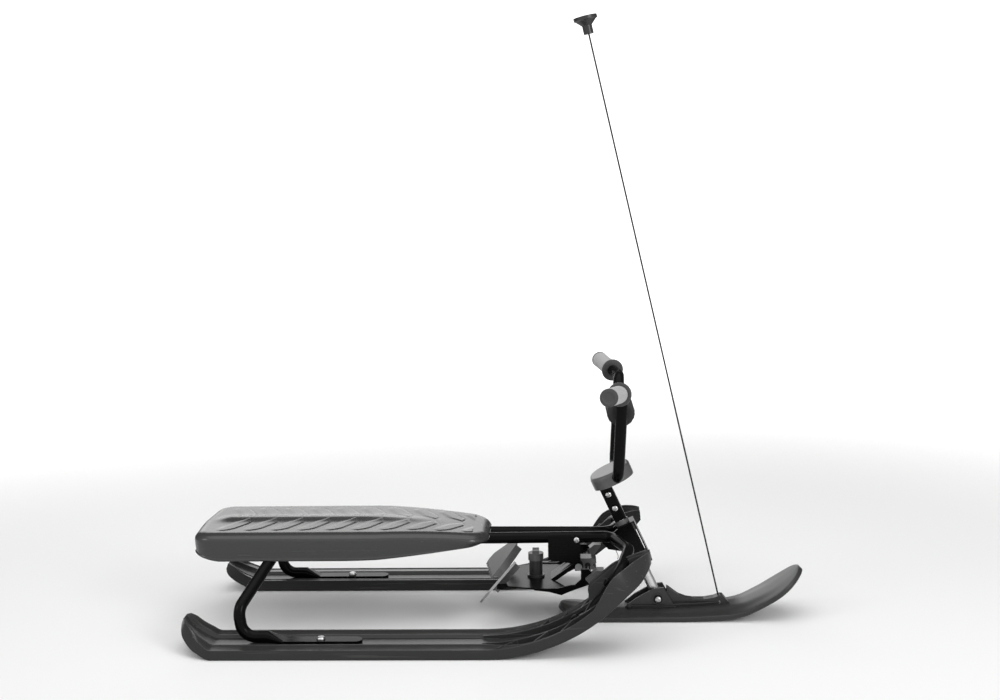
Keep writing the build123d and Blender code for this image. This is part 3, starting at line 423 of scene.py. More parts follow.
# %% Give each solid its finish
node_finish = {
    "rear_ski": "ski_plastic",
    "front_ski": "blade_plastic",
    "seat": "seat_plastic",
    "lower_bush": "light_plastic",
    "upper_bush": "light_plastic",
    "column_cap": "light_plastic",
    "brake_block": "light_plastic",
    "brake_pedal": "light_plastic",
    "spring_cap": "light_plastic",
    "brake_claw": "claw_steel",
    "heel_bolt": "bright_steel",
    "toe_bolt": "frame_paint",
    "nose_bolt": "frame_paint",
    "column_bolt": "frame_paint",
    "shaft": "bright_steel",
    "ski_pin": "frame_paint",
    "brake_pin": "bright_steel",
    "grip": "grip_rubber",
    "crossbar_pad": "foam_cover",
    "cord": "cord_fibre",
    "tow_handle": "black_plastic",
    "saddle": "black_plastic",
    "nose_fitting": "black_plastic",
    "spring_post": "black_plastic",
}
for node_name, node in nodes.items():
    keys = [key for key in node_finish if node_name.startswith(key)]
    finish = finishes[node_finish[max(keys, key=len)] if keys else "frame_paint"]
    node.data.materials.clear()
    node.data.materials.append(finish)
print("dressed", len(nodes))

# %% [markdown]
# ## Helpers for the pieces
# A piece is made as a mesh whose points already lie in their place. Its faces are turned
# outwards, flat parts stay flat and curves are shaded smooth. A long moulding is a row of
# closed cross-sections, joined into one closed skin.

# %% Make a piece from points and faces
def close_and_turn(mesh):
    """Merges doubled points and turns every face outwards."""
    shell = bmesh.new()
    shell.from_mesh(mesh)
    bmesh.ops.remove_doubles(shell, verts=shell.verts, dist=0.00002)
    bmesh.ops.dissolve_degenerate(shell, edges=shell.edges, dist=0.00001)
    bmesh.ops.recalc_face_normals(shell, faces=shell.faces)
    shell.to_mesh(mesh)
    shell.free()


def declare_piece(piece, finish, body, smooth_deg=32.0):
    """Shades a piece, gives it a finish and lets it ride on a body."""
    piece.data.shade_smooth()
    piece.data.set_sharp_from_angle(angle=math.radians(smooth_deg))
    piece.data.materials.clear()
    piece.data.materials.append(finishes[finish])
    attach(piece, body)
    return piece


def make_piece(name, points, faces, finish, body, smooth_deg=32.0):
    """A closed mesh piece in its place, riding on a body."""
    mesh = bpy.data.meshes.new(name)
    mesh.from_pydata([tuple(point) for point in points], [], faces)
    close_and_turn(mesh)
    piece = bpy.data.objects.new(name, mesh)
    scene.collection.objects.link(piece)
    return declare_piece(piece, finish, body, smooth_deg)


def skin_faces(row_count, row_length, capped=True, start=0):
    """Faces that join closed rows of points into one skin, with flat ends."""
    faces = []
    for row in range(row_count - 1):
        for spot in range(row_length):
            after = (spot + 1) % row_length
            low = start + row * row_length
            high = low + row_length
            faces.append((low + spot, low + after, high + after, high + spot))
    if capped:
        last = start + (row_count - 1) * row_length
        faces.append(tuple(range(start, start + row_length)))
        faces.append(tuple(range(last, last + row_length)))
    return faces


def turned(rows, foot, way, side, steps):
    """Points and faces of a turned shape. Rows are (distance along the axis, radius)."""
    way = Vector(way).normalized()
    across = (Vector(side) - way * way.dot(Vector(side))).normalized()
    other = way.cross(across)
    points = []
    for along, radius in rows:
        for step in range(steps):
            angle = math.tau * step / steps
            arm = across * math.cos(angle) + other * math.sin(angle)
            points.append(Vector(foot) + way * along + arm * radius)
    return points, skin_faces(len(rows), steps)


def monotone(values, places, place):
    """Value at a place of a smooth curve that never overshoots its given values."""
    last = len(places) - 1
    place = min(places[-1], max(places[0], place))
    span = max([i for i in range(last) if places[i] <= place] or [0])
    rises = [(values[i + 1] - values[i]) / (places[i + 1] - places[i]) for i in range(last)]

    def slope_at(i):
        if i in (0, last):
            return rises[0] if i == 0 else rises[-1]
        before, after = rises[i - 1], rises[i]
        return 2.0 * before * after / (before + after) if before * after > 0.0 else 0.0

    width = places[span + 1] - places[span]
    t = (place - places[span]) / width
    return (
        (2 * t**3 - 3 * t**2 + 1) * values[span]
        + (t**3 - 2 * t**2 + t) * slope_at(span) * width
        + (3 * t**2 - 2 * t**3) * values[span + 1]
        + (t**3 - t**2) * slope_at(span + 1) * width
    )


def round_corners(corners, radii, steps=4):
    """A closed 2-D outline with each corner rounded by its own radius."""
    outline = []
    for i, (corner, radius) in enumerate(zip(corners, radii)):
        spot = Vector(corner)
        back = Vector(corners[i - 1]) - spot
        ahead = Vector(corners[(i + 1) % len(corners)]) - spot
        reach = min(radius, 0.45 * back.length, 0.45 * ahead.length)
        start, end = spot + back.normalized() * reach, spot + ahead.normalized() * reach
        for step in range(steps + 1):
            t = step / steps
            outline.append(start * (1 - t) ** 2 + spot * 2 * t * (1 - t) + end * t**2)
    return outline


def soft_step(value):
    """Rises smoothly from 0 to 1."""
    t = min(1.0, max(0.0, value))
    return t * t * (3.0 - 2.0 * t)


SIDES = {"right": 1.0, "left": -1.0}

# %% [markdown]
# ## The tow cord
# A thin woven cord is tied to the fitting on the front ski. Its handle stands high above
# the ski, and the cord runs up to it taut and straight. Its other end comes out below, lies
# beside the fitting and ends in a knot. Both stretches are curves through the route of the
# solids.

# %% Lay the cords
CORD_D = 0.0032
# Columns: name, route, far end, lay, node, piece at its end
cord_rows = [
    ("tow_cord_upper", [(0.428, 0.0, 0.031), (0.30425, 0.0, 0.578), (0.1805, 0.0, 1.125)],
     "fitting", "taut", "cord_upper", "tow_handle"),
    ("tow_cord_lower", [(0.428, -0.010, 0.0265), (0.350, -0.0225, 0.025), (0.250, -0.0225, 0.023)],
     "knot", "loose", "cord_lower", "cord_knot"),
]
for name, route, far_end, lay, node, end_node in cord_rows:
    curve = bpy.data.curves.new(name, "CURVE")
    curve.dimensions = "3D"
    curve.bevel_depth = CORD_D / 2
    curve.bevel_resolution = 4
    curve.use_fill_caps = True
    spline = curve.splines.new("NURBS")
    spline.points.add(len(route) - 1)
    for point, place in zip(spline.points, route):
        point.co = (*place, 1.0)
    spline.order_u = 3
    spline.use_endpoint_u = True
    spline.resolution_u = 24
    cord = bpy.data.objects.new(name, curve)
    scene.collection.objects.link(cord)
    curve.materials.append(finishes["cord_fibre"])
    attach(cord, "front_runner")
    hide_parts(node)

# %% [markdown]
# ## The foam pad
# The crossbar carries a soft roll of foam in a smooth cover. The cover is pulled tight, so
# it swells a little between its ends and wrinkles where it is closed over them. The paler
# hem of the real cover around the bar is left out.

# %% Shape the foam pad
PAD_AT = (0.2347, 0.0, 0.413)
PAD_HALF_LONG = 0.061
pad_rows = [
    (-PAD_HALF_LONG + 0.002, 0.0084), (-PAD_HALF_LONG + 0.0015, 0.012), (-PAD_HALF_LONG + 0.0006, 0.0165),
    (-PAD_HALF_LONG + 0.0008, 0.0205), (-PAD_HALF_LONG + 0.0028, 0.0242), (-PAD_HALF_LONG + 0.006, 0.0259),
]
PAD_RINGS = 30
body_rows = [
    (-0.055 + 0.110 * k / PAD_RINGS, 0.0262 + 0.0006 * math.cos(math.pi * (k / PAD_RINGS - 0.5)))
    for k in range(PAD_RINGS + 1)
]
pad_profile = pad_rows + body_rows + [(-along, radius) for along, radius in reversed(pad_rows)]
PAD_STEPS = 96
pad_points, pad_faces = turned(pad_profile, PAD_AT, (0, 1, 0), (1, 0, 0), PAD_STEPS)
for i, point in enumerate(pad_points):
    ring, step = divmod(i, PAD_STEPS)
    along = abs(pad_profile[ring][0])
    angle = math.tau * step / PAD_STEPS
    pull = soft_step((along - 0.036) / 0.02)
    fold = math.sin(angle * 17.0 + 2.0 * math.sin(angle * 3.0)) * 0.00035 * pull
    sag = 0.0002 * math.sin(angle * 4.0 + pad_profile[ring][0] * 70.0)
    middle = Vector((PAD_AT[0], point.y, PAD_AT[2]))
    arm = point - middle
    if pad_profile[ring][1] > 0.01:
        pad_points[i] = middle + arm * (1.0 + (fold + sag) / arm.length)
foam_pad = make_piece("crossbar_foam", pad_points, pad_faces, "foam_cover", "steering", 50.0)
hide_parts("crossbar_pad")
print("foam pad faces", len(foam_pad.data.polygons))

# %% [markdown]
# ## The seat
# The seat is one large moulding: a crowned top with a rolled shoulder, a deep skirt that
# ends in a bead, a low spine and two rows of slanted, leaf-shaped pads. Its outline is a
# polygon with round corners. Rings of points run from the outline over the shoulder to a
# line along the middle, and a height is worked out for each point, so the pads and the
# spine are part of one skin. The inside follows the outside, one wall lower.

# %% Sizes of the seat
# Columns: x, y, radius of the round corner
SEAT_CORNERS = [
    (-0.583, -0.121, 0.038), (-0.230, -0.121, 0.048), (-0.020, -0.086, 0.048),
    (-0.020, 0.086, 0.048), (-0.230, 0.121, 0.048), (-0.583, 0.121, 0.038), (-0.590, 0.0, 0.3),
]
SEAT_TOP = 0.197
SEAT_ROLL = 0.014
ROLL_WIDE = 0.022
SEAT_WALL = 0.0036
SEAT_FALL_FROM = -0.26
SEAT_FALL_R = 1.824
RIM_PLACES = [-0.620, -0.586, -0.5605, -0.5294, -0.303, -0.0653, -0.0087, 0.014]
RIM_HEIGHTS = [0.1700, 0.1582, 0.1512, 0.1455, 0.1455, 0.1608, 0.1740, 0.1850]
MIDDLE_LINE = (-0.465, -0.106)
PAD_COUNT = 10
PAD_FIRST = -0.549
PAD_PITCH = 0.0523
PAD_WIDE = 0.0195
PAD_RISE = 0.0010
PAD_BACK_SLOPE = 0.016
PAD_FRONT_SLOPE = 0.003
PAD_SWEEP = 0.058
CREASE_DEEP = 0.0004
SPINE_RISE = 0.005
SPINE_HALF = 0.02
BEAD = 0.0016


def rounded_outline(table, step):
    """Points and outward directions along a convex polygon with round corners."""
    corners = [row[:2] for row in table]
    count = len(corners)
    arcs = []
    for i in range(count):
        spot = Vector(corners[i])
        radius = table[i][2]
        back = (Vector(corners[i - 1]) - spot).normalized()
        ahead = (Vector(corners[(i + 1) % count]) - spot).normalized()
        half = back.angle(ahead) / 2.0
        middle = spot + (back + ahead).normalized() * (radius / math.sin(half))
        reach = radius / math.tan(half)
        arcs.append((middle, spot + back * reach, spot + ahead * reach))
    points, ways = [], []
    for i, (middle, start, end) in enumerate(arcs):
        radius = table[i][2]
        first = math.atan2(start.y - middle.y, start.x - middle.x)
        sweep = (math.atan2(end.y - middle.y, end.x - middle.x) - first + math.pi) % math.tau - math.pi
        steps = max(2, math.ceil(abs(sweep) * radius / step))
        for k in range(steps + 1):
            angle = first + sweep * k / steps
            way = Vector((math.cos(angle), math.sin(angle)))
            points.append(middle + way * radius)
            ways.append(way)
        run = arcs[(i + 1) % count][1] - end
        steps = max(1, round(run.length / step))
        for k in range(1, steps):
            points.append(end + run * (k / steps))
            ways.append(ways[-1].copy())
    return points, ways


seat_line, seat_ways = rounded_outline(SEAT_CORNERS, 0.0023)
print("seat outline", len(seat_line), "points")


# %% Height of the seat's top
def seat_fall(x):
    """How far the top has dropped: level at the back and falling in front."""
    reach = max(0.0, x - SEAT_FALL_FROM)
    return SEAT_FALL_R - math.sqrt(SEAT_FALL_R**2 - reach**2)


def seat_half(x):
    """Half the seat's width at this place."""
    (waist_x, rear_y, _), (front_x, front_y, _) = SEAT_CORNERS[1], SEAT_CORNERS[2]
    share = min(1.0, max(0.0, (x - waist_x) / (front_x - waist_x)))
    return -rear_y + (rear_y - front_y) * share


def pad_height(x, y):
    """Height that the slanted leaf pads add at a point of the top."""
    reach = abs(y) / seat_half(x)
    if not 0.06 < reach < 0.9:
        return 0.0
    sweep = PAD_SWEEP * (1.0 - reach) ** 1.15
    along = (x - sweep - PAD_FIRST) / PAD_PITCH
    nearest = round(along)
    if not 0 <= nearest < PAD_COUNT or x > -0.052 or x < -0.562:
        return 0.0
    ahead = (along - nearest) * PAD_PITCH
    away = abs(ahead)
    outer_end = math.sqrt(max(0.0, 1.0 - (max(0.0, reach - 0.56) / 0.17) ** 2))
    inner_end = soft_step((reach - 0.06) / 0.22) * 0.75 + 0.25
    half = PAD_WIDE * outer_end * inner_end
    if half < 0.002:
        return 0.0
    edge = soft_step((half - away) / (PAD_FRONT_SLOPE if ahead > 0.0 else PAD_BACK_SLOPE))
    crease = math.exp(-(((away - half - 0.0006) / 0.0011) ** 2)) * soft_step((ahead + 0.008) / 0.008)
    return PAD_RISE * edge * soft_step((reach - 0.06) / 0.05) - CREASE_DEEP * crease


def seat_height(x, y):
    """Height of the seat's upper face with its pads and its spine."""
    fade = soft_step((-0.09 - x) / 0.2) * soft_step((x + 0.572) / 0.04)
    spine = SPINE_RISE * fade * math.exp(-((y / SPINE_HALF) ** 2))
    return SEAT_TOP - seat_fall(x) + pad_height(x, y) + spine


def plain_height(x, y):
    """Height of the seat's top without its pads."""
    return SEAT_TOP - seat_fall(x)


# %% Mould the seat
def seat_ring(inset, height_of):
    """One ring of the seat, moved in from the outline."""
    ring = []
    for point, way in zip(seat_line, seat_ways):
        spot = point - way * inset
        ring.append((spot.x, spot.y, height_of(spot.x, spot.y)))
    return ring


def middle_rings(inset, count, height_of):
    """Rings that close from an inner ring onto the line along the middle."""
    rings = []
    for k in range(1, count + 1):
        ring = []
        for point, way in zip(seat_line, seat_ways):
            spot = point - way * inset
            goal = Vector((min(MIDDLE_LINE[1], max(MIDDLE_LINE[0], spot.x)), 0.0))
            place = spot.lerp(goal, k / count)
            ring.append((place.x, place.y, height_of(place.x, place.y)))
        rings.append(ring)
    return rings


def skirt_at(share):
    """Height on the skirt as a share of the way from its rim to the shoulder."""
    def skirt_height(x, y):
        rim = monotone(RIM_HEIGHTS, RIM_PLACES, x)
        return rim + share * (SEAT_TOP - SEAT_ROLL - seat_fall(x) - rim)
    return skirt_height


def lower(height_of, drop):
    """The same surface, moved down."""
    return lambda x, y: height_of(x, y) - drop


# Columns: moved in from the outline, share of the skirt's height
inner_skirt = [(SEAT_WALL, 0.97), (SEAT_WALL, 0.5), (SEAT_WALL, 0.02)]
outer_skirt = [
    (SEAT_WALL - BEAD, -0.01), (0.0014, -0.02), (0.0003, 0.01), (0.0, 0.05), (0.0004, 0.09), (BEAD, 0.12),
    (BEAD, 0.16), (0.0009, 0.4), (0.0004, 0.7), (0.0, 0.93), (0.0, 1.0),
]
ROLL_STEPS = 18
FLAT_STEP = 0.0018
FLAT_RINGS = 7
flat_inset = ROLL_WIDE + FLAT_STEP * FLAT_RINGS
seat_rows = middle_rings(0.03, 8, lower(plain_height, SEAT_WALL))[::-1]
seat_rows.append(seat_ring(0.03, lower(plain_height, SEAT_WALL + 0.0004)))
seat_rows.append(seat_ring(0.012, lower(plain_height, SEAT_WALL + 0.0042)))
seat_rows += [seat_ring(inset, skirt_at(share)) for inset, share in inner_skirt + outer_skirt]
for k in range(1, ROLL_STEPS + 1):
    turn = math.radians(90.0) * k / ROLL_STEPS
    drop = SEAT_ROLL * (1.0 - math.sin(turn))
    seat_rows.append(seat_ring(ROLL_WIDE * (1.0 - math.cos(turn)), lower(seat_height, drop)))
seat_rows += [seat_ring(ROLL_WIDE + FLAT_STEP * k, seat_height) for k in range(1, FLAT_RINGS + 1)]
seat_rows += middle_rings(flat_inset, 48, seat_height)
seat_points = [point for row in seat_rows for point in row]
seat_skin = skin_faces(len(seat_rows), len(seat_line), capped=False)

# Two ribs run under the seat, from its rear to its front
RIB_ENDS = (-0.545, -0.050)
RIB_LOW = 0.168
RIB_Y = 0.023
RIB_HALF = 0.0065
RIB_STEPS = 24
for side in SIDES.values():
    start = len(seat_points)
    for k in range(RIB_STEPS + 1):
        x = RIB_ENDS[0] + (RIB_ENDS[1] - RIB_ENDS[0]) * k / RIB_STEPS
        top = plain_height(x, 0.0) - SEAT_WALL + 0.0012
        low = min(RIB_LOW, top - 0.004)
        corners = [(-RIB_HALF, low), (RIB_HALF, low), (RIB_HALF, top), (-RIB_HALF, top)]
        seat_points += [(x, side * RIB_Y + y, z) for y, z in corners]
    seat_skin += skin_faces(RIB_STEPS + 1, 4, start=start)
seat_piece = make_piece("seat_moulding", seat_points, seat_skin, "seat_plastic", "frame", 60.0)
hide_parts("seat")
print("seat rings", len(seat_rows), "faces", len(seat_piece.data.polygons))

# %% [markdown]
# ## The rear skis
# Each rear ski is one long moulding: two ridged bands with a channel between them. At the
# nose it rises in a bow, its walls grow into wings and the channel deepens to a trough
# that holds the end of the frame tube between two guide rails with slanted ribs. The
# sections of the solid are set again here and joined by smooth curves with round edges,
# and each rim gets a small bead that the solid lacks.

# %% Sections of a rear ski
SKI_OUT = -0.260
SKI_WIDTH = 0.105
CHANNEL_FLOOR = 0.0155
NOSE_START = -0.028
NOSE_LONG = 0.312
NOSE_BOW = 0.360
NOSE_RISE_DEG = 39.0
TAIL_START = -0.520
# Columns: x, height and lean of the sole line, outer and inner edge moved in (shares of the width),
# heights of outer wall, outer ridge, inner ridge and inner wall in mm,
# places of both ridges (shares of the width), share of the channel floor
ski_keys = [
    (-0.5900, 0.0455, -20.0, 0.66, 0.10, 12.5, 12.5, 12.5, 12.5, 0.22, 0.78, 0.80),
    (-0.5876, 0.0400, -26.0, 0.52, 0.04, 18.0, 17.5, 17.5, 18.5, 0.23, 0.79, 0.88),
    (-0.5800, 0.0302, -34.0, 0.34, 0.01, 22.5, 21.5, 21.5, 23.0, 0.25, 0.80, 0.92),
    (-0.5515, 0.0115, -26.0, 0.08, 0.00, 19.2, 21.1, 21.1, 22.3, 0.28, 0.78, 0.95),
    (-0.5200, 0.0, 0.0, 0.00, 0.00, 18.0, 20.5, 20.5, 21.9, 0.295, 0.78, 1.00),
    (-0.0280, 0.0, 0.0, 0.00, 0.00, 18.0, 20.5, 20.5, 22.0, 0.295, 0.78, 1.00),
    (0.0200, 0.0, 0.0, 0.00, 0.00, 18.5, 20.2, 20.2, 21.6, 0.17, 0.85, 0.75),
    (0.0600, 0.0, 0.0, 0.00, 0.00, 18.9, 19.8, 19.8, 21.1, 0.08, 0.92, 0.60),
    (0.1399, 0.0, 0.0, 0.01, 0.00, 20.0, 20.0, 20.0, 20.0, 0.07, 0.93, 0.45),
    (0.1801, 0.0, 0.0, 0.035, 0.00, 21.1, 20.0, 20.0, 20.0, 0.07, 0.93, 0.45),
    (0.1879, 0.0, 0.0, 0.04, 0.00, 22.0, 21.0, 32.1, 33.9, 0.07, 0.93, 0.45),
    (0.1979, 0.0, 0.0, 0.055, 0.00, 26.0, 24.0, 39.6, 41.8, 0.07, 0.92, 0.45),
    (0.2400, 0.0, 0.0, 0.20, 0.00, 42.0, 39.2, 40.9, 44.0, 0.08, 0.92, 0.45),
    (0.2618, 0.1281, 25.0, 0.41, -0.02, 40.0, 36.1, 35.2, 37.8, 0.10, 0.88, 0.48),
    (0.2759, 0.1409, 14.0, 0.66, -0.05, 32.1, 28.2, 26.0, 29.9, 0.16, 0.82, 0.50),
    (0.2840, 0.1521, 5.0, 0.85, -0.08, 22.0, 17.2, 15.8, 19.8, 0.25, 0.70, 0.52),
]
key_xs = [row[0] for row in ski_keys]
# Round edges of a section, in its corners' order, in mm
SECTION_RADII = (2.5, 0.9, 0.9, 1.0, 1.0, 0.8, 1.0, 2.2, 2.2, 1.0, 0.8, 1.0, 1.0, 0.9, 0.9, 2.5)
RIM_BEAD = 0.0028


def nose_bow(x):
    """Height and slope of the sole line on the rising nose."""
    turn = math.radians(NOSE_RISE_DEG)
    bend_x = NOSE_START + NOSE_BOW * math.sin(turn)
    if x < bend_x:
        angle = math.asin(max(0.0, x - NOSE_START) / NOSE_BOW)
        return NOSE_BOW * (1.0 - math.cos(angle)), math.degrees(angle)
    return NOSE_BOW * (1.0 - math.cos(turn)) + (x - bend_x) * math.tan(turn), NOSE_RISE_DEG


bow_end = key_xs[12]
bow_height, bow_slope = nose_bow(bow_end)
tip_xs = [bow_end] + key_xs[13:]
tip_heights = [bow_height] + [row[1] for row in ski_keys[13:]]
tip_leans = [bow_slope] + [row[2] for row in ski_keys[13:]]


def ski_row(x, side):
    """Closed section of a rear ski, square to its sole line."""
    if x <= TAIL_START:
        low = monotone([row[1] for row in ski_keys], key_xs, x)
        slope = monotone([row[2] for row in ski_keys], key_xs, x)
    elif x <= bow_end:
        low, slope = nose_bow(x)
    else:
        low, slope = monotone(tip_heights, tip_xs, x), monotone(tip_leans, tip_xs, x)
    values = [monotone([row[column] for row in ski_keys], key_xs, x) for column in range(3, 12)]
    out_part, in_part, wall_out, ridge_out, ridge_in, wall_in, place_out, place_in, floor_part = values
    edge_out = SKI_OUT + out_part * SKI_WIDTH
    edge_in = SKI_OUT + SKI_WIDTH - in_part * SKI_WIDTH
    span = edge_in - edge_out
    step = 0.05 * span
    floor_high = floor_part * CHANNEL_FLOOR
    ridge_near, ridge_far = edge_out + place_out * span, edge_out + place_in * span
    rim = min(RIM_BEAD, 0.06 * span)
    corners = [
        (edge_out, 0.0), (edge_out, wall_out * MM + rim * 0.4), (edge_out + rim, wall_out * MM + rim * 0.4),
        (edge_out + rim * 1.4, wall_out * MM - rim * 0.1),
        (ridge_near - rim * 1.2, ridge_out * MM - rim * 0.4),
        (ridge_near - rim * 0.9, ridge_out * MM), (ridge_near, ridge_out * MM),
        (ridge_near + step, floor_high), (ridge_far - step, floor_high),
        (ridge_far, ridge_in * MM), (ridge_far + rim * 0.9, ridge_in * MM),
        (ridge_far + rim * 1.2, ridge_in * MM - rim * 0.4),
        (edge_in - rim * 1.4, wall_in * MM - rim * 0.1),
        (edge_in - rim, wall_in * MM + rim * 0.4), (edge_in, wall_in * MM + rim * 0.4), (edge_in, 0.0),
    ]
    outline = round_corners(corners, [radius * MM for radius in SECTION_RADII])
    lean = math.radians(slope)
    return [(x - rise * math.sin(lean), side * y, low + rise * math.cos(lean)) for y, rise in outline]


# %% Mould the rear skis
TAIL_STEPS, FLAT_STEPS, NOSE_STEPS = 30, 14, 84
SKI_END = -0.590
ski_xs = [SKI_END + (TAIL_START - SKI_END) * k / TAIL_STEPS for k in range(TAIL_STEPS)]
ski_xs += [TAIL_START + (NOSE_START - TAIL_START) * k / FLAT_STEPS for k in range(FLAT_STEPS)]
ski_xs += [NOSE_START + NOSE_LONG * k / NOSE_STEPS for k in range(NOSE_STEPS + 1)]
GUIDE_END = 0.196
GUIDE_STEPS = 28
GUIDE_HALF = 0.0015
GUIDE_BAND = (0.004, 0.0205)
GUIDE_PLACES = (0.34, 0.73)
RIB_THICK = 0.0035
# Columns: the wall's distance from the edge, the rail's place, then rows of rib ends on wall and rail
rib_table = [
    (0.004, 0.34, [(0.09, 0.213), (0.314, 0.4), (0.481, 0.554)]),
    (SKI_WIDTH - 0.004, 0.73, [(0.412, 0.354), (0.529, 0.49), (0.66, 0.612)]),
]


def above_bow(x, rise):
    """Side-view point square above the nose's sole line."""
    low, slope = nose_bow(x)
    lean = math.radians(slope)
    return x - rise * math.sin(lean), low + rise * math.cos(lean)


def add_upright(points, faces, stations, side):
    """An upright plate in the trough. Station rows are (x, y, half thickness along x and y)."""
    start = len(points)
    for x, y, half_x, half_y in stations:
        for rise, sign in ((0, -1), (0, 1), (1, 1), (1, -1)):
            side_x, side_z = above_bow(x + sign * half_x, GUIDE_BAND[rise])
            points.append((side_x, side * (y + sign * half_y), side_z))
    faces += skin_faces(len(stations), 4, start=start)


for side_name, side in SIDES.items():
    rows = [ski_row(x, side) for x in ski_xs]
    points = [point for row in rows for point in row]
    faces = skin_faces(len(rows), len(rows[0]))
    for place in GUIDE_PLACES:
        y = SKI_OUT + place * SKI_WIDTH
        xs = [NOSE_START + (GUIDE_END - NOSE_START) * k / GUIDE_STEPS for k in range(GUIDE_STEPS + 1)]
        add_upright(points, faces, [(x, y, 0.0, GUIDE_HALF) for x in xs], side)
    for wall_in, rail_place, ribs in rib_table:
        rib_ys = (SKI_OUT + wall_in, SKI_OUT + rail_place * SKI_WIDTH)
        for end_shares in ribs:
            ends = [
                (NOSE_START + share * NOSE_LONG + RIB_THICK / 2, y, RIB_THICK / 2, 0.0)
                for share, y in zip(end_shares, rib_ys)
            ]
            add_upright(points, faces, ends, side)
    ski = make_piece("ski_moulding_" + side_name, points, faces, "ski_plastic", "frame", 34.0)
    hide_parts("rear_ski_" + side_name)
    print(ski.name, "faces", len(ski.data.polygons), "y", round(min(v.co.y for v in ski.data.vertices), 4),
          round(max(v.co.y for v in ski.data.vertices), 4))

# %% [markdown]
# ## The front ski
# The front ski is a broad blade with a crowned deck, upright sides and round ends. It lies
# flat under the pivot and sweeps up like a spoon in front. Its sections are shaped with
# soft shoulders, so the bright panel behind the sled slides along its deck.

# %% Mould the front ski
BLADE_ENDS = (0.112, 0.590)
BLADE_HALF = 0.056
BLADE_EDGE = 0.003
BLADE_CROWN = 0.019
BLADE_RISE = 0.091
# Columns: place, sole height (share of the rise), lean, side wall, shoulder, crown (shares of the crown)
blade_keys = [
    (0.0, 0.175, -25.0, 0.42, 0.53, 0.63), (0.06, 0.065, -16.0, 0.5, 0.63, 0.84),
    (0.12, 0.013, -7.0, 0.53, 0.68, 0.97), (0.18, 0.0, 0.0, 0.53, 0.68, 1.0),
    (0.5, 0.0, 0.0, 0.53, 0.68, 1.0), (0.6, 0.025, 2.5, 0.53, 0.68, 1.0),
    (0.69, 0.053, 5.0, 0.53, 0.68, 0.97), (0.732, 0.09, 12.0, 0.53, 0.67, 0.89),
    (0.766, 0.143, 20.0, 0.53, 0.65, 0.82), (0.814, 0.264, 28.0, 0.53, 0.61, 0.74),
    (0.877, 0.45, 32.0, 0.53, 0.58, 0.66), (0.937, 0.68, 39.0, 0.5, 0.55, 0.6),
    (1.0, 1.0, 47.0, 0.47, 0.5, 0.53),
]
blade_places = [row[0] for row in blade_keys]
BLADE_RADII = (1.4, 1.4, 2.2, 7.0, 9.0, 9.0, 7.0, 2.2, 1.4, 1.4)
END_STEPS = 16
WAIST_STEPS = 46


def blade_row(x):
    """Closed section of the front ski, narrowed at its round ends."""
    tail, tip = BLADE_ENDS
    place = (x - tail) / (tip - tail)
    values = [monotone([row[column] for row in blade_keys], blade_places, place) for column in range(1, 6)]
    height, lean_deg, side_part, shoulder_part, crown_part = values
    from_end = min(x - tail, tip - x, BLADE_HALF)
    half = math.sqrt(max(0.0, BLADE_HALF**2 - (BLADE_HALF - from_end) ** 2))
    slim = half / BLADE_HALF
    near = [
        (-half + BLADE_EDGE * slim, 0.0), (-half, BLADE_EDGE), (-half, side_part * BLADE_CROWN),
        (-half * 0.68, shoulder_part * BLADE_CROWN), (-half * 0.34, crown_part * BLADE_CROWN),
    ]
    outline = round_corners(near + [(-y, rise) for y, rise in reversed(near)], [r * MM for r in BLADE_RADII])
    lean = math.radians(lean_deg)
    return [(x - r * math.sin(lean), y, height * BLADE_RISE + r * math.cos(lean)) for y, r in outline]


bends = [math.radians(90.0) * k / END_STEPS for k in range(1, END_STEPS + 1)]
blade_xs = [BLADE_ENDS[0] + BLADE_HALF * (1.0 - math.cos(bend)) for bend in bends]
waist = (BLADE_ENDS[0] + BLADE_HALF, BLADE_ENDS[1] - BLADE_HALF)
blade_xs += [waist[0] + (waist[1] - waist[0]) * k / WAIST_STEPS for k in range(1, WAIST_STEPS)]
blade_xs += [BLADE_ENDS[1] - BLADE_HALF * (1.0 - math.cos(bend)) for bend in reversed(bends)]
blade_rows = [blade_row(x) for x in blade_xs]
blade = make_piece(
    "front_blade", [point for row in blade_rows for point in row],
    skin_faces(len(blade_rows), len(blade_rows[0])), "blade_plastic", "front_runner", 40.0,
)
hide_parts("front_ski")
print("front blade faces", len(blade.data.polygons))

# %% [markdown]
# ## The grips
# Each grip is a rubber sleeve pushed over the end of the bar. A dark flange stops the hand
# inside, a dark cap closes the end, and between them a fine raised grid covers the paler
# barrel. The grid repeats, so a small node tree sets one stud on every point of a tube's
# wire net and turns it outwards. Its sizes are inputs of the tree.

# %% Build the stud tree
def piece_tree(name, rows):
    """A mesh-making node tree, its inputs' identifiers, and its input and output nodes."""
    tree = bpy.data.node_groups.new(name, "GeometryNodeTree")
    for way in ("INPUT", "OUTPUT"):
        tree.interface.new_socket(name="Geometry", in_out=way, socket_type="NodeSocketGeometry")
    inputs = {
        label: tree.interface.new_socket(name=label, in_out="INPUT", socket_type=kind).identifier
        for label, kind in rows
    }
    return tree, inputs, tree.nodes.new("NodeGroupInput"), tree.nodes.new("NodeGroupOutput")


